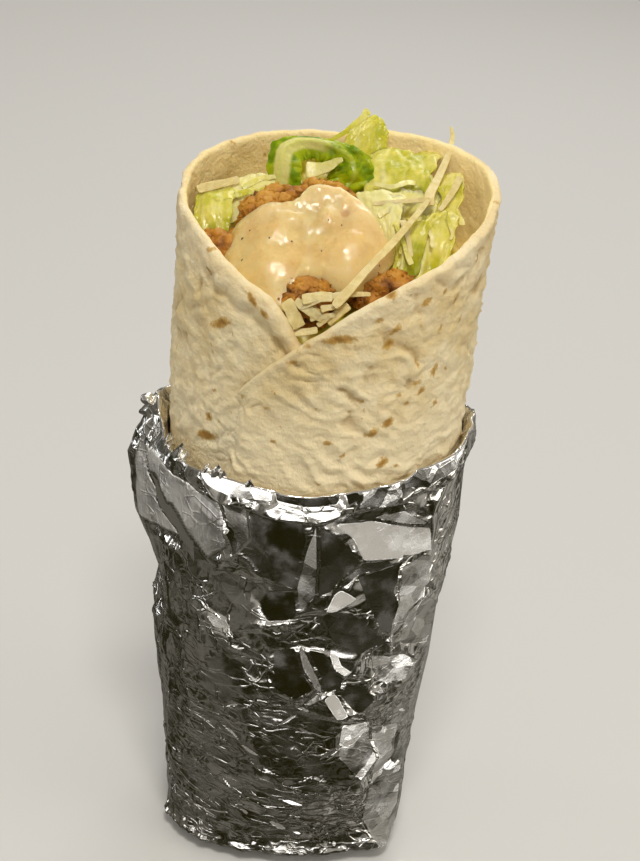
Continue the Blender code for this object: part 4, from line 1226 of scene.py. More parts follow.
finishPiece(makeTeeth(foilFinish), foilFinish, "foil")
finishPiece(makeTip(), foilFinish, "foil")
print("foil edge torn")


# The diced chicken

chicken = {
    "pieces": (                    # centre, half sizes, tone and how many times the mesh is divided
        ((-15, 1.5, 184), (8.8, 8, 7.2), 0, 7),
        ((-3.5, 7.5, 185.8), (8, 7.5, 6.6), 0.05, 7),
        ((-5.5, -21, 173.8), (7.5, 6.5, 6.2), -0.6, 7),
        ((13.5, -16.5, 175.6), (8, 7, 5.6), -0.6, 6),
        ((-26.5, -6, 177), (6, 6.5, 6), -0.35, 6),
        ((4.5, -6, 183), (7, 7, 6), 0, 6),
    ),
    "clumps": (                    # crisp lumps that stand out of the dressing's back edge, and their radii
        ((-20.2, -2, 187), 2.7), ((-17, -0.4, 188.8), 3.1), ((-13, -0.6, 189.6), 3.2),
        ((-10, 2.6, 190.8), 3.4), ((-6, 5, 191.8), 3.3), ((-2.4, 6.6, 192), 2.8),
        ((-14.6, 4.2, 188.6), 2.6), ((-11, -0.8, 189.4), 2.2),
    ),
    "knobs": 46,                   # crisp bumps over each piece
    "clumpKnobs": 7,
    "clumpTone": 0.22,
    "clumpDivisions": 5,
    "knobRadius": 2.5,
    "knobDepth": 1.5,
    "crumbedPieces": 4,            # how many of the first pieces carry loose crumbs
    "crumbs": 260,
    "crumbSize": 0.5,
    "crust": (                     # from the hollows to the crests: the crust's own colour, painted darker in the hollows as shade
        (0, (0.11, 0.034, 0.006)), (0.25, (0.25, 0.094, 0.015)),
        (0.55, (0.45, 0.19, 0.020)), (0.9, (0.61, 0.31, 0.038)),
    ),
    "paleCrust": (0.58, 0.29, 0.035),
}


def makeNugget(name, number, centre, halfSizes, tone, divisions, knobs, small=False):
    c = chicken
    mesh = bpy.data.meshes.new(name)
    edit = bmesh.new()
    bmesh.ops.create_icosphere(edit, subdivisions=divisions, radius=1.0)
    edit.to_mesh(mesh)
    edit.free()
    flat = np.zeros(len(mesh.vertices) * 3)
    mesh.vertices.foreach_get("co", flat)
    ray = flat.reshape(-1, 3)
    ray = ray / np.linalg.norm(ray, axis=1, keepdims=True)
    square = ray * (1 / np.abs(ray).max(axis=1, keepdims=True)) ** 0.35
    lumps = 1 + 0.14 * noise3(ray, 0.45, number)[:, None]
    body = square * np.array(halfSizes) * lumps
    rng = np.random.default_rng(40 + number)
    k = np.arange(knobs) + 0.5
    tilt, turn = np.arccos(1 - 2 * k / knobs), np.pi * (1 + 5**0.5) * k
    spots = np.stack([np.cos(turn) * np.sin(tilt), np.sin(turn) * np.sin(tilt), np.cos(tilt)], axis=1)
    spots = spots + rng.normal(0, 0.09, spots.shape)
    spots = spots / np.linalg.norm(spots, axis=1, keepdims=True) * np.array(halfSizes)
    radii = c["knobRadius"] * rng.uniform(0.75, 1.35, len(spots)) * min(1, min(halfSizes) / 4)
    bump = np.zeros(len(body))
    warped = body + 0.5 * noiseVectors(body, 1.7, 60)
    for spot, radius in zip(spots, radii):
        reach = np.linalg.norm(warped - spot, axis=1) / radius
        bump = np.maximum(bump, np.sqrt(np.clip(1 - reach * reach, 0, 1)) * radius / c["knobRadius"])
    crust = (0.5 * noise3(body, 1.3, 70) + 0.3 * noise3(body, 0.65, 71)) * (0.3 if small else 1.0)
    push = c["knobDepth"] * (bump - 0.75) + 0.42 * crust
    points = body + ray * push[:, None] + np.array(centre)
    mesh.vertices.foreach_set("co", (points * mm).ravel())
    mesh.shade_smooth()
    obj = addObject(mesh.name, mesh)
    # crag: high on the knobs, low in the hollows, where the finish paints shade
    setAttribute(obj, "crag", np.clip(0.45 + 0.6 * bump if small else bump + 0.35 * crust, 0, 1.4))
    setAttribute(obj, "tone", 0.5 + 0.5 * noise3(points, 5.5, 80) + tone)
    return obj


def makeCrustFinish():
    f = Finish(
        "crispChicken", Subsurface_Weight=0.12, Subsurface_Radius=(1.0, 0.5, 0.25), Subsurface_Scale=0.002,
        Coat_Weight=0.05, Coat_Roughness=0.25, Specular_IOR_Level=0.3,
    )
    crag, tone = f.attribute("crag"), f.attribute("tone")
    speckle = f.grain(0.8, 4)
    # painted shade: the crust darkens into the hollows between the knobs
    colour = f.ramp(crag * 0.55 + 0.5 * (speckle - 0.5) + 0.30 * tone, *chicken["crust"])
    colour = f.mix(f.step(tone, 0.62, 0.95) * 0.45, colour, chicken["paleCrust"])
    f.feed("Base Color", colour)
    f.feed("Roughness", 0.34 + 0.34 * f.patches(1.8, 3, 0.35, 0.65))
    f.bump(speckle + 0.5 * f.grain(0.3, 3), 0.3, 0.9)
    return f.material


def makeCrumbs(host, finish, count, size, seed, name):
    graph, inputs = newTree(name + "Tree", Density=1.0, Size=0.0005, Seed=seed)
    spots = graph.node(
        "GeometryNodeDistributePointsOnFaces", {"distribute_method": "RANDOM"},
        {"Mesh": inputs["Geometry"], "Density": inputs["Density"], "Seed": inputs["Seed"]},
    )
    crumb = graph.node("GeometryNodeMeshIcoSphere", {}, {"Radius": inputs["Size"], "Subdivisions": 2})
    pushed = graph.wander(inputs["Size"] * 1.3, {"Scale": 1.4 / (size * mm), "Detail": 1.0})
    rough = graph.node("GeometryNodeSetPosition", {}, {"Geometry": crumb, "Offset": pushed})

    def between(low, high):
        sockets = {0: low, 1: high, "Seed": inputs["Seed"]}
        return graph.node("FunctionNodeRandomValue", {"data_type": "FLOAT_VECTOR"}, sockets)

    turn = between((0, 0, 0), (6.28, 6.28, 6.28))
    scale = between((0.5, 0.5, 0.4), (1.5, 1.3, 1.0))
    copies = {"Points": spots, "Instance": rough, "Rotation": turn, "Scale": scale}
    placed = graph.node("GeometryNodeInstanceOnPoints", {}, copies)
    tree = endTree(graph, placed, inputs["Finish"])
    area = sum(polygon.area for polygon in host.data.polygons)
    copy = addObject(name, host.data.copy())
    made = growNodes(copy, tree, Density=count / area, Size=size * mm, Finish=finish)
    made.data.shade_smooth()
    return made


crustFinish = makeCrustFinish()
for number, shape in enumerate(chicken["pieces"], 1):
    piece = makeNugget(f"chickenPiece{number}", number, *shape, chicken["knobs"])
    finishPiece(piece, crustFinish, "chicken", f"chicken_{number}")
    if number <= chicken["crumbedPieces"]:
        amounts = (chicken["crumbs"], chicken["crumbSize"])
        crumbs = makeCrumbs(piece, crustFinish, *amounts, number, f"crumbs{number}")
        setAttribute(crumbs, "crag", 0.9)
        setAttribute(crumbs, "tone", 0.7)
        finishPiece(crumbs, crustFinish, "chicken")
clumps = []
for number, (centre, radius) in enumerate(chicken["clumps"], 10):
    halfSizes = (radius, radius * 0.95, radius * 0.9)
    shape = (centre, halfSizes, chicken["clumpTone"], chicken["clumpDivisions"])
    clumps.append(makeNugget("chickenClump", number, *shape, chicken["clumpKnobs"], small=True))
finishPiece(joinMeshes("chickenClumps", clumps), crustFinish, "chicken")
print("chicken diced")


# The heap of filling that the dressing runs over

heap = {
    "profile": (                   # front-to-back position and height of its crest
        (-34, 168), (-28, 173), (-23, 179.5), (-17, 185), (-8, 189.5), (2, 192), (10, 192), (16, 189.5),
        (22, 184), (30, 178),
    ),
    "crest": -2.5,
    "halfWidth": 24.0,
    "fall": 10.0,
}


def heapHeight(x, y):
    side = np.abs(x - heap["crest"]) / heap["halfWidth"]
    return readSoftly(heap["profile"], y, 3) - heap["fall"] * side**3


# The dressing

dressing = {
    "centre": (-6.0, -12.0),
    "reach": (                     # angle about the centre and reach of the pour's outline
        (-180, 12.6), (-172, 11.4), (-162, 8.9), (-146, 8.5), (-136, 12), (-126, 15.6), (-117, 19.6),
        (-97, 20.8), (-81, 18.8), (-57, 17.2), (-38, 17.2), (-22, 17.9), (-14, 17.4), (-9, 10.6),
        (0, 9.3), (9, 9.5), (24, 10.6), (35, 13.3), (48, 16.9), (61, 18.6), (79, 20.2), (91, 21),
        (99, 18.8), (108, 16.8), (131, 15.6), (149, 15.2), (168, 13.8), (180, 12.6),
    ),
    "lip": (
        (-180, 0.9), (-100, 1.2), (-60, 1.4), (-30, 1.7), (-14, 1.7), (0, 1.6), (35, 2.3), (80, 2.2),
        (110, 1.4), (180, 0.9),
    ),
    "above": 0.9,
    "columns": 300,
    "rings": 84,
    "lumps": (                     # place, radius and height of what pushes up from below
        (-5, -1, 4.6, 2.4), (4, -3, 4.6, 1.6), (8.5, -7.5, 4.4, 1.5), (-12, -7.5, 4.4, 1.2),
        (-17.5, -13, 4.2, 1.5), (4.5, -17, 4.8, 2.6), (11.5, -13, 4.4, 1.4), (-5, -13, 4.2, -2.2),
        (-21, -8, 3.6, 1.2), (-14.8, -22, 4.2, 1.9), (-9, -3.2, 2.6, 1.3), (-16.5, -5.5, 2.4, 1.2),
        (-1.5, -8.5, 3, 1), (0.8, -1, 2.2, 1), (-21, -15, 3, -0.8), (-12.5, -17, 3, -0.7),
        (2.4, -6.9, 1.7, -0.7), (-5.5, -19, 3, -1.2),
    ),
    # where the chicken shows through: place and radius
    "meat": ((2.4, -6.9, 1.5), (-24.8, -8.5, 2.4), (-6.0, 0.5, 1.0)),
    "cream": (0.66, 0.435, 0.155),
    "paleCream": (0.76, 0.545, 0.225),
    "upperCream": (0.78, 0.58, 0.31),
    "rimCream": (0.80, 0.61, 0.27),
    "meatBrown": (0.50, 0.25, 0.08),
    "fleckBrown": (0.42, 0.22, 0.09),
    "specks": 26,
    "speckSize": 0.26,
    "pepper": ((0.05, 0.028, 0.015), (0.16, 0.09, 0.04)),
}


def pourHeight(x, y):
    z = heapHeight(x, y) + dressing["above"]
    for lumpX, lumpY, radius, height in dressing["lumps"]:
        z = z + height * np.exp(-((x - lumpX) ** 2 + (y - lumpY) ** 2) / radius**2)
    plan = np.stack([x, y, np.zeros_like(x)], axis=-1)
    crisp = np.exp(-((x + 13) ** 2 + (y + 5) ** 2) / 60) + np.exp(-((x + 3) ** 2 + (y + 3) ** 2) / 50)
    fine = (0.10 + 0.34 * np.clip(crisp, 0, 1)) * (noise3(plan, 2.3, 7) + 0.4 * noise3(plan, 1.1, 9))
    return z + 0.40 * noise3(plan, 6.0, 5) + 0.14 * noise3(plan, 3.2, 6) + fine


def makeDressing():
    d = dressing
    angle = -180 + 360 * np.arange(d["columns"]) / d["columns"]
    reach = readSoftly(d["reach"], angle, 3)
    reach = reach + 0.5 * noise2(angle / 360 * 22, 0.4, 8) + 0.25 * noise2(angle / 360 * 48, 0.4, 9)
    lip = readSoftly(d["lip"], angle, 10)
    s, c = np.sin(np.radians(angle)), np.cos(np.radians(angle))

    def place(radial):
        return d["centre"][0] + radial * s, d["centre"][1] - radial * c

    rings, edge = [], []
    for share in np.linspace(0.004, 1, d["rings"]):
        x, y = place((reach - lip) * share)
        rings.append(np.stack([x, y, pourHeight(x, y)], axis=1))
        edge.append(smoothStep(0.72, 1.0, share) * np.ones_like(x))
    for turn in np.radians(np.arange(8, 176, 8)):
        x, y = place(reach - lip + lip * math.sin(turn))
        middle = pourHeight(x, y) - lip
        rings.append(np.stack([x, y, middle + lip * math.cos(turn)], axis=1))
        edge.append(np.ones_like(x))
    for share in (1.0, 0.8, 0.5, 0.2, 0.004):
        x, y = place((reach - lip) * share)
        rings.append(np.stack([x, y, pourHeight(x, y) - 2 * lip], axis=1))
        edge.append(np.zeros_like(x))
    grid = np.stack(rings)
    meat = np.zeros(grid.shape[:2])
    for x, y, radius in d["meat"]:
        meat = np.maximum(meat, np.exp(-((grid[..., 0] - x) ** 2 + (grid[..., 1] - y) ** 2) / radius**2))
    upper = smoothStep(-16, -2, grid[..., 1])
    obj = addGrid("creamyDressing", grid, closeColumns=True, rimmed=np.stack(edge), meat=meat, upper=upper)
    return closeUp(obj)


def makeSauceFinish():
    f = Finish(
        "creamySauce", Subsurface_Weight=0.6, Subsurface_Radius=(1.0, 0.66, 0.34), Subsurface_Scale=0.006,
        Coat_Weight=0.25, Coat_Roughness=0.17,
    )
    colour = f.mix(f.patches(6.5, 3, 0.36, 0.66), dressing["cream"], dressing["paleCream"])
    colour = f.mix(f.attribute("upper") * 0.5, colour, dressing["upperCream"])
    colour = f.mix(f.attribute("rimmed") * 0.4, colour, dressing["rimCream"])
    meat = f.step(f.attribute("meat") + 0.5 * (f.grain(0.9, 3) - 0.5), 0.35, 0.9)
    colour = f.mix(meat * 0.7, colour, dressing["meatBrown"])
    colour = f.mix((1 - f.step(f.cells(2.3), 0.03, 0.085)) * 0.55, colour, dressing["fleckBrown"])
    f.feed("Base Color", colour)
    f.feed("Roughness", 0.24 + 0.20 * f.patches(3, 3, 0.4, 0.65))
    f.bump(f.grain(3.2, 2) + 0.10 * f.grain(0.7, 2), 0.20, 0.5)
    return f.material


pour = makeDressing()
pepper = Finish("blackPepper", Roughness=0.6)
pepper.feed("Base Color", pepper.mix(pepper.grain(0.4, 2), *dressing["pepper"]))
specks = makeCrumbs(pour, pepper.material, dressing["specks"], dressing["speckSize"], 12, "pepperSpecks")
finishPiece(pour, makeSauceFinish(), "dressing", "dressing")
finishPiece(specks, pepper.material, "dressing")
print("dressing poured")


# The romaine

romaine = {
    "stations": (                  # along it: a point of the rib, of the outer edge and of the inner edge
        ((-14.8, 12, 188.5), (-17.7, 13, 189), (-9.6, 11, 189)),
        ((-14.7, 13.5, 194), (-18.4, 14.5, 194), (-9.2, 12.5, 194.2)),
        ((-14.4, 15, 197.2), (-17.6, 16, 198.6), (-9.4, 14, 195.8)),
        ((-12.3, 16.5, 199), (-14, 17.5, 200.4), (-8.7, 15, 195.4)),
        ((-9.3, 17.5, 199.6), (-9.9, 18.5, 200.4), (-7.4, 16, 195.4)),
        ((-5.5, 17.5, 199.6), (-5.1, 18.5, 200.4), (-5.6, 16, 195.2)),
        ((-1.4, 17, 198.6), (0.2, 18, 200), (-3.8, 15.5, 194.6)),
        ((2.4, 16, 196.8), (5.2, 17, 198.8), (-2.6, 14.5, 193.8)),
        ((3.6, 15, 194.2), (8.8, 16, 195.4), (-2.4, 13.5, 192.4)),
        ((3, 14, 191.2), (8.4, 15, 190.6), (-2.6, 12.5, 190.4)),
        ((1, 13, 188.4), (4.6, 14, 186.6), (-2.6, 12, 188.4)),
    ),
    "steps": 16,
    "across": 48,
    "ribThick": 1.7,
    "bladeThick": 0.6,
    "frill": 0.75,
    "green": (0.15, 0.25, 0.001),
    "brightGreen": (0.37, 0.43, 0.003),
    "paleBase": (0.66, 0.62, 0.21),
    "ribGreen": (0.58, 0.60, 0.10),
}


def makeRomaine():
    r = romaine
    rib, outerEdge, innerEdge = [smoothPath(places, r["steps"]) for places in zip(*r["stations"])]
    length = np.concatenate([[0], np.cumsum(np.linalg.norm(np.diff(rib, axis=0), axis=1))])
    w = np.linspace(-1, 1, r["across"])
    side = np.abs(w)
    normal = np.cross(innerEdge - outerEdge, np.gradient(rib, axis=0))
    normal = normal / np.linalg.norm(normal, axis=1, keepdims=True)
    s, v = length[:, None], w[None, :]
    along = s / length[-1]
    frill = r["frill"] * side**1.6 * (noise2(s / 2.6, v * 0.8, 14) + 0.6 * noise2(s / 1.2, v * 1.2, 15))
    frill = frill * (0.5 + 1.1 * smoothStep(0.45, 0.75, along))
    frill = frill + 0.9 * smoothStep(0.5, 0.8, along) * noise2(s / 3.4, v * 1.6, 19)
    blister = 0.28 * noise2(s / 1.6, v * 2.6, 16) * side
    ragged = 1 + 0.14 * noise2(s / 1.5, np.sign(v) * 3.3, 17) * side**3
    cup = 0.9 * (side**2)[None, :]
    outward = (outerEdge - rib)[:, None, :] * (np.maximum(-v, 0) * ragged)[..., None]
    inward = (innerEdge - rib)[:, None, :] * (np.maximum(v, 0) * ragged)[..., None]
    middle = rib[:, None, :] + outward + inward + normal[:, None, :] * (frill + blister - cup)[..., None]
    thick = r["bladeThick"] + (r["ribThick"] - r["bladeThick"]) * np.exp(-(((w + 0.05) / 0.26) ** 2))
    thick = thick * np.sqrt(np.clip(1 - side**8, 0.02, 1))
    outer = sheetNormals(middle) * (thick[None, :] / 2)[..., None]
    ring = np.concatenate([middle + outer, (middle - outer)[:, ::-1]], axis=1)
    across = np.concatenate([w, w[::-1]])[None, :] * np.ones((len(rib), 1))
    obj = addGrid("romaineCurl", ring, closeColumns=True, across=across, along=along * np.ones_like(across))
    return closeUp(obj, 0.001)


def makeGreenFinish():
    f = Finish(
        "brightRomaine", Subsurface_Weight=0.25, Subsurface_Radius=(0.7, 1.0, 0.10), Subsurface_Scale=0.002,
        Coat_Weight=0.03, Coat_Roughness=0.2, Specular_IOR_Level=0.22,
    )
    away = abs(f.attribute("across") + 0.16 * (f.grain(1.6, 3) - 0.5))
    green = f.mix(f.patches(3.2, 3, 0.35, 0.65), romaine["green"], romaine["brightGreen"])
    pale = (1 - f.step(away, 0.34, 0.52)) * (1 - f.step(f.attribute("along"), 0.48, 0.64))
    colour = f.mix(pale, green, romaine["paleBase"])
    ribbed = (1 - f.step(away, 0.02, 0.14)) * 0.4
    colour = f.mix(ribbed, colour, romaine["ribGreen"])
    f.feed("Base Color", colour)
    f.feed("Roughness", 0.24 + 0.2 * f.patches(2, 2, 0.4, 0.6))
    f.bump(f.grain(0.9, 3) + 0.5 * f.cells(1.2), 0.25, 0.6)
    return f.material


finishPiece(makeRomaine(), makeGreenFinish(), "romaine", "romaine")
print("romaine curled")


# Flat strips swept along curves: shavings of leaf and shreds of cheese

strip = {
    "points": 36,                  # about how many along each strip
    "usualWidth": 3.0,
    "toward": (0.05, -0.75, 0.66),     # the way their flat sides face
}


def faceTilts(path, lean):               # how far each point's section turns to face that way
    along = np.gradient(path, axis=0)
    along = along / np.linalg.norm(along, axis=1, keepdims=True)
    across = np.stack([along[:, 1], -along[:, 0], np.zeros(len(path))], axis=1)
    across = across / np.linalg.norm(across, axis=1, keepdims=True)
    up = np.cross(along, across)
    toward = np.array(strip["toward"])
    return np.arctan2(-(across @ toward), up @ toward) + math.radians(lean)


def makeStrips(name, lines, thick, bend, finish):
    graph, inputs = newTree(name + "Tree", Thickness=0.001, Roughness=0.0002)
    share = inputs["Thickness"] * (1 / (strip["usualWidth"] * mm))       # of the width, which is the radius
    section = {"Width": 1.0, "Height": share}
    section = graph.node("GeometryNodeCurvePrimitiveQuadrilateral", {"mode": "RECTANGLE"}, section)
    corners = {"Curve": section, "Count": 2, "Radius": share * 0.3}
    rounded = graph.node("GeometryNodeFilletCurve", {"mode": "POLY"}, corners)
    width = graph.node("GeometryNodeInputRadius")
    sweep = {"Curve": inputs["Geometry"], "Profile Curve": rounded, "Scale": width, "Fill Caps": True}
    swept = graph.node("GeometryNodeCurveToMesh", {}, sweep)
    pushed = graph.wander(inputs["Roughness"], {"Scale": 700.0, "Detail": 2.0})
    rough = graph.node("GeometryNodeSetPosition", {}, {"Geometry": swept, "Offset": pushed})
    tree = endTree(graph, rough, inputs["Finish"])
    paths, radii, tilts = [], [], []
    for number, (width, endWidth, lean, *points) in enumerate(lines):
        path = smoothPath(points, max(1, strip["points"] // (len(points) - 1)))
        t = np.linspace(0, 1, len(path))
        path = path + bend * np.stack([noise2(t * 3, 0.5, number + axis) for axis in (0, 20, 40)], axis=1)
        paths.append(path * mm)
        taper = 1 - 0.35 * smoothStep(0.93, 1.0, np.abs(2 * t - 1))
        widths = (width + (endWidth - width) * t) * taper
        radii.append(widths * mm * (0.97 + 0.12 * noise2(t * 4, 0.2, number)))
        tilts.append(faceTilts(path, lean) + 0.25 * noise2(t * 2.2, 0.8, number))
    curves = addCurves(name, paths, radii, tilts)
    made = growNodes(curves, tree, Thickness=thick * mm, Roughness=bend * 0.4 * mm, Finish=finish)
    made.data.shade_flat()
    return made


# The lettuce: a core down through the wrap, the leaves that show, and shavings of leaf between them

lettuce = {
    "leaves": (                    # greenness, ripple, then three rows of three points from the root up
        (0.62, 0.6,
         ((-33.4, -3, 179), (-29, -4, 179), (-25.6, -4, 180)),
         ((-34.6, 1, 184.6), (-30.4, 0.5, 185.4), (-25.4, 0.5, 185.6)),
         ((-34.4, 8, 187.6), (-30.5, 9, 188.4), (-24.8, 10.6, 188.4))),
        (0.02, 0.4,
         ((-25.8, 0, 182.6), (-21, 2, 184), (-15, 4, 185.6)),
         ((-26.4, 8, 187), (-21.1, 9, 188), (-15.4, 9, 189.4)),
         ((-26, 15, 188.9), (-21.4, 15.4, 189.8), (-14.4, 15.4, 190.8))),
        (0.12, 0.4,
         ((-10.2, 16, 187), (-5, 16, 187), (0.5, 16, 188)),
         ((-10.1, 20, 191.8), (-5.1, 20, 192.6), (0.5, 20, 193.2)),
         ((-10, 23, 195.5), (-5, 23, 196.6), (0.7, 23, 196.6))),
        (0.50, 0.5,
         ((0.6, 23, 190.4), (5.2, 23.4, 190.4), (10.6, 24, 190.6)),
         ((0.6, 26.4, 197), (5.8, 27, 197.4), (11.6, 28, 196.8)),
         ((5, 31.2, 200.8), (8.4, 31.2, 202.4), (12, 30.2, 199.8))),
        (0.48, 0.6,
         ((7.1, 10, 188), (14.6, 8, 187), (22, 6, 188)),
         ((7.2, 20, 193), (15.2, 16, 193.2), (23.6, 14, 194.4)),
         ((7.8, 27.6, 195.6), (16.4, 27, 196.4), (26, 26, 197.2))),
        (0.42, 0.5,
         ((20.9, 0, 186), (25.3, -2, 185.7), (29.6, 0, 187.4)),
         ((23.1, 9, 190.4), (27.2, 7, 191.1), (31, 6, 192.5)),
         ((25.5, 19, 193.9), (28.9, 18, 194.8), (31.8, 15, 195.6))),
        (0.50, 0.8,
         ((15.3, -15.4, 178.5), (18.9, -15, 179), (22, -12.4, 180)),
         ((15.4, -11, 183.9), (18.6, -10, 185), (22.6, -8, 185.8)),
         ((15.6, -5, 188.2), (19.6, -4, 188.9), (24.4, -2.6, 189.4))),
        (0.05, 0.5,
         ((8.5, -6, 184.3), (12.7, -7, 183.7), (16.1, -8, 184.1)),
         ((6.1, 1, 188.4), (11.5, -1, 189.4), (16.2, -2, 189.7)),
         ((4.7, 9, 191.4), (10.1, 7, 192.2), (17.5, 7, 192.8))),
        (0.25, 0.5,
         ((14, 5, 186.6), (19, 3, 186.6), (24, 2, 187.6)),
         ((15, 11, 190.2), (20, 8.5, 190.5), (25.5, 7, 191)),
         ((15.5, 17, 192), (21, 15, 192.8), (27, 12, 193.2))),
        (0.38, 0.8,
         ((19, -14, 177), (24, -12.5, 178.5), (29, -9, 181)),
         ((21.1, -5, 185.5), (25.3, -4, 187.1), (29.8, -2.4, 187.6)),
         ((21.9, -1, 188.8), (26, 1, 190.4), (30.2, 3, 190.2))),
    ),
    "strands": (                   # shavings of leaf: width at either end, lean, then points along them
        (1, 1.8, 0, (29.5, 6, 191.8), (30.2, 3, 190.2), (31.4, 0, 188.2)),
        (0.9, 1.5, 0, (16.2, -8.4, 187.5), (17.6, -11.6, 185.9), (19.4, -15.4, 183.2)),
        (0.9, 2.2, 15, (-3.6, 25, 197), (0.4, 28, 199.2), (3.6, 30, 201.8), (6.4, 30.4, 204.6)),
        (1.6, 1.2, 0, (-24, 10, 188.8), (-19, 12, 190.2), (-13.5, 12.5, 191.4)),
        (1.8, 1, 0, (-25.6, 6, 188.2), (-20.4, 6.4, 189.2), (-15.8, 7, 190.2)),
        (1.2, 1.8, 0, (7.6, 6, 191.2), (12.4, 4, 191.8), (18.6, 6.4, 192.6)),
        (1.5, 0.9, 0, (10.4, -2.6, 189.4), (15, 0.4, 191.2), (20, 5.2, 193)),
        (1.2, 0.8, 0, (21.4, -3, 189.8), (23.4, -6, 188), (24.6, -9.4, 185.4)),
        (1.3, 0.8, 20, (26.8, 1.4, 191.2), (28.4, -2.4, 189), (28.6, -6, 186.8)),
        (1.4, 0.7, 0, (14.6, -4.4, 189.2), (16.8, -8.6, 187), (16.4, -13, 184.4)),
        (4.6, 1.2, 0, (-8.4, 13.4, 193.2), (-4.6, 13.4, 193.9), (-1.4, 13.4, 196), (0.6, 13.4, 197.6)),
        (1, 1.4, 0, (9, 12, 192), (13.4, 10.4, 192.6), (19.4, 11.4, 193.6)),
        (0.8, 1.3, 0, (22.8, 14, 195), (25.4, 9, 193.6), (27.2, 4, 191.6)),
        (1.3, 0.8, 10, (-33, 4.4, 187.2), (-29.6, 3, 187), (-26, 3.6, 187.4)),
    ),
    "rows": 44,
    "thick": 0.55,
    "coreBottom": 12.0,
    "coreEdge": 172.0,
    "coreGap": 0.7,                # between the core and the tortilla
    "strandThick": 0.5,
    "strandBend": 0.5,
    "shades": (                    # from the pale heart to the green edge; the green end also carries painted shade at each leaf's foot
        (0, (0.86, 0.76, 0.29)), (0.3, (0.76, 0.66, 0.14)), (0.6, (0.50, 0.48, 0.040)),
        (1, (0.26, 0.32, 0.010)),
    ),
    "ribCream": (0.84, 0.77, 0.36),
}


def bendNet(net, u, v):                  # the sheet through three rows of three points
    def weights(t):
        return (2 * t - 1) * (t - 1), 4 * t * (1 - t), t * (2 * t - 1)

    return sum(
        (a * b)[..., None] * np.array(net[i][j])
        for i, a in enumerate(weights(v)) for j, b in enumerate(weights(u))
    )


def makeLeaf(number, greenness, ripple, *net):
    count = lettuce["rows"]
    v, u = np.meshgrid(np.linspace(0, 1, count), np.linspace(0, 1, count), indexing="ij")
    width = np.linalg.norm(np.subtract(net[1][2], net[1][0]))
    height = np.linalg.norm(np.subtract(net[2][1], net[0][1]))
    fromSide = np.abs(2 * u - 1)
    side = np.sign(u - 0.5)
    ragged = 0.10 * noise2(u * width / 5.5, 0.5, number) + 0.012 * noise2(u * width / 1.6, 0.5, number + 1)
    notched = 0.09 * noise2(v * height / 5.0, side, number + 2)
    notched = notched + 0.01 * noise2(v * height / 1.6, side, number + 3)
    points = bendNet(net, u + side * fromSide**3 * notched, v * (1 + ragged * v**3 - 0.16 * fromSide**4 * v))
    out = sheetNormals(points)
    rib = np.exp(-(((u - 0.25 - 0.12 * noise2(v * 2, 0.4, number)) / 0.05) ** 2))
    rib = rib * (1 - smoothStep(0.35, 0.9, v))
    veins = np.abs((u * 2.4 + v * 0.7 + 0.5 * noise2(u * 3, v * 3, number)) % 1 - 0.5) * 2
    vein = smoothStep(0.66, 1.0, veins) * (1 - rib)
    edge = np.maximum(fromSide**4, v**4)
    a, b = u * width, v * height
    waves = ripple * noise2(a / 4.2, b / 8, number + 20)
    frill = 0.8 * ripple * edge * noise2(a / 1.8, b / 2.2, number + 30)
    crinkle = 0.30 * ripple * (1 - 2 * np.abs(noise2(a / 2.4, b / 6.0, number + 40)))
    crinkle = crinkle + 0.10 * noise2(a / 1.1, b / 2.0, number + 41)
    points = points + out * (waves + frill + crinkle - 0.10 * vein + 0.15 * rib)[..., None]
    tone = greenness + 0.35 * noise3(points, 5, number) + 0.15 * noise3(points, 2, number)
    # tone runs greener and darker towards each leaf's foot: partly the leaf's own colour, partly painted
    # shade down in the filling
    return addGrid(f"leaf{number}", points, rib=rib + 0.45 * vein, tone=tone + 0.30 * (0.45 - v))


def makeLeafFinish():
    f = Finish(
        "paleLettuce", Subsurface_Weight=0.5, Subsurface_Radius=(1.0, 0.85, 0.15), Subsurface_Scale=0.004,
        Coat_Weight=0.08, Coat_Roughness=0.2, Specular_IOR_Level=0.35,
    )
    rib, tone = f.attribute("rib"), f.attribute("tone")
    shade = tone + 0.30 * (f.grain(3.5, 3) - 0.5) + 0.16 * (f.cells(1.5) - 0.5)
    colour = f.ramp(shade, *lettuce["shades"])
    colour = f.mix(f.step(rib, 0.1, 0.9) * 0.5, colour, lettuce["ribCream"])
    f.feed("Base Color", colour)
    f.feed("Roughness", 0.24 + 0.22 * f.patches(2.4, 3, 0.4, 0.65))
    f.bump(f.grain(1.1, 3) + 0.3 * f.cells(1.4), 0.25, 0.6)
    return f.material


def coreTop(x, y):
    plan = np.stack([x, y, np.full_like(x, 3.1)], axis=-1)
    bumps = 1.4 * noise3(plan, 8, 1) + 1.0 * noise3(plan, 3.2, 2) + 0.5 * noise3(plan, 1.5, 3)
    return np.clip(175.0 + 0.32 * y, 166, 184) + bumps


def makeCore():
    angle = np.arange(-180, 180, 2.5)
    inward = -tortilla["sheet"] - lapSink(angle) - lettuce["coreGap"]
    rings = [wallPoints(angle, z, inward) for z in (lettuce["coreBottom"], 35.0, 60.0, 120.0, 150.0)]
    edge = wallPoints(angle, lettuce["coreEdge"], inward)
    for share in np.linspace(1, 0.01, 46):
        x, y = edge[:, 0] * share, edge[:, 1] * share
        rings.append(np.stack([x, y, coreTop(x, y) - 2.0 * smoothStep(0.8, 1.0, share)], axis=1))
    bottom = rings[0] * 0.02
    bottom[:, 2] = lettuce["coreBottom"]
    grid = np.stack([bottom] + rings)
    tone = 0.35 + 0.4 * noise3(grid, 4, 8)
    return closeUp(addGrid("lettuceCore", grid, closeColumns=True, rib=0.0, tone=tone))


def makeLettuce():
    leaves = [makeLeaf(number, *leaf) for number, leaf in enumerate(lettuce["leaves"], 1)]
    salad = joinMeshes("lettuceLeaves", leaves)
    wall = salad.modifiers.new("thickness", "SOLIDIFY")
    wall.thickness = lettuce["thick"] * mm
    wall.offset = 0
    salad = bakeModifiers(salad)
    return joinMeshes("saladLeaves", [makeCore(), salad])


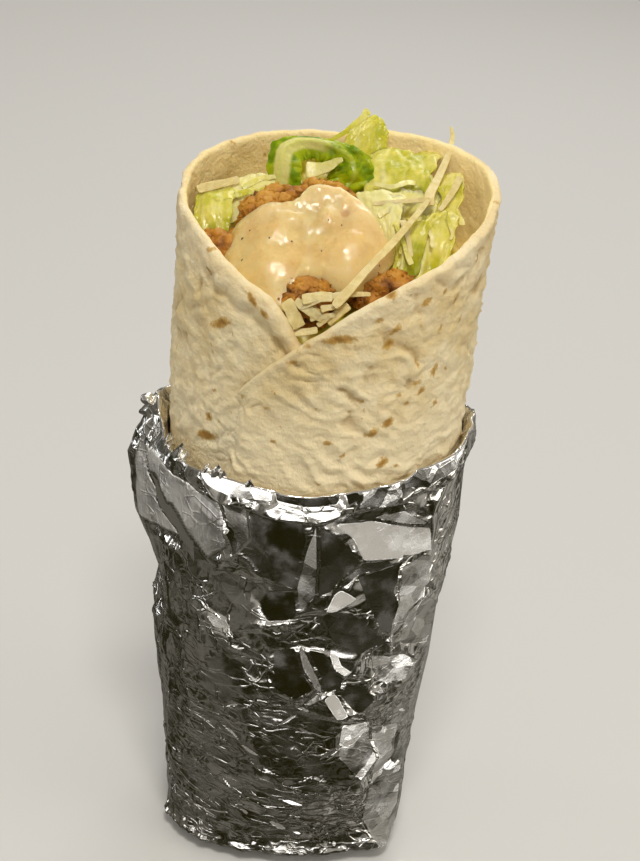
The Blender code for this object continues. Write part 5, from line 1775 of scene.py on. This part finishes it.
leafFinish = makeLeafFinish()
finishPiece(makeLettuce(), leafFinish, "lettuce", "lettuce")
shavings = (lettuce["strands"], lettuce["strandThick"], lettuce["strandBend"])
strands = makeStrips("leafStrands", *shavings, leafFinish)
places = np.array([vertex.co for vertex in strands.data.vertices]) / mm
setAttribute(strands, "tone", 0.15 + 0.5 * noise3(places, 9.0, 3))
finishPiece(strands, leafFinish, "lettuce")
print("lettuce laid")


# The shredded cheese

cheese = {
    "shreds": (                    # width at either end, lean, then points along them
        (2.3, 1.5, 0, (1.8, -30, 177.2), (5.7, -26.6, 181.2), (9.5, -22.4, 184.8), (13.4, -17.2, 187.8),
         (16.6, -11.6, 190), (22.4, -1, 194.2)),
        (0.8, 3, 10, (27.6, 31, 202.2), (28.2, 28.6, 200.4), (27.3, 22, 198), (25.1, 13, 195.6),
         (22.8, 4, 193.6), (22.9, 1, 192)),
        (2.4, 2, 0, (-34.6, 4.6, 188.9), (-30, 8, 189.4), (-24.8, 11.6, 189.8)),
        (2.7, 2.5, 0, (-5.8, -28.8, 177.6), (-2.3, -28.2, 178.2), (1.3, -27.8, 178.5)),
        (1.6, 1.2, 0, (0.2, -27.6, 178.4), (4.9, -26.4, 178.9), (10.2, -25.2, 178.8)),
        (3.2, 3.6, 0, (-9.6, -29.2, 177), (-7.7, -30, 174.2), (-5.9, -30.5, 171.2)),
        (2.4, 2.2, 10, (-7.4, -28.6, 177), (-4, -29.2, 175.2), (-0.4, -29.6, 173.4)),
        (0.9, 0.7, 0, (-6.1, -29.4, 175.6), (-1.4, -29, 177.7)),
        (2.1, 1.8, -10, (-4.2, -28.4, 176.2), (-0.3, -29, 173.6)),
        (2.1, 1.8, 0, (-12, -30.6, 170.6), (-6.7, -30.7, 169.7), (-1.5, -30.6, 170.9)),
        (1.8, 1.2, 0, (-1.2, -29.4, 175.8), (3.4, -28.6, 176.9)),
        (1.2, 0.9, 0, (-1.6, -30.2, 171.9), (1.6, -29.6, 174.5)),
        (2.6, 2, 0, (0.6, -29.6, 172.6), (5.4, -28.2, 177)),
        (1.6, 1.2, 10, (-3.6, -29.8, 173.4), (2.6, -29.2, 174.6)),
        (1.5, 1.2, 0, (23, 1, 193.6), (18.2, 1.6, 192.6), (9, 1.4, 191)),
        (1.8, 1, 0, (16.6, -4, 189.6), (18, -8.4, 187.4), (19.2, -13.4, 184.4)),
        (2, 1.2, 0, (30.2, 11, 196.4), (28, 5.6, 193.4), (25.4, 0.6, 191.2)),
    ),
    "thick": 0.7,
    "bend": 0.12,
    "deep": (0.65, 0.50, 0.195),
    "pale": (0.77, 0.63, 0.30),
}


def makeCheeseFinish():
    f = Finish(
        "hardCheese", Subsurface_Weight=0.35, Subsurface_Radius=(1.0, 0.8, 0.4), Subsurface_Scale=0.003,
    )
    colour = f.mix(f.patches(2.2, 4, 0.35, 0.7), cheese["deep"], cheese["pale"])
    f.feed("Base Color", colour)
    f.feed("Roughness", 0.35 + 0.2 * f.grain(1.2, 3))
    f.bump(f.grain(0.6, 4), 0.25, 0.8)
    return f.material


cheeseFinish = makeCheeseFinish()
shreds = makeStrips("cheeseShreds", cheese["shreds"], cheese["thick"], cheese["bend"], cheeseFinish)
finishPiece(shreds, cheeseFinish, "cheese", *[f"shred_{n}" for n in range(1, 10)])
print("cheese shredded")
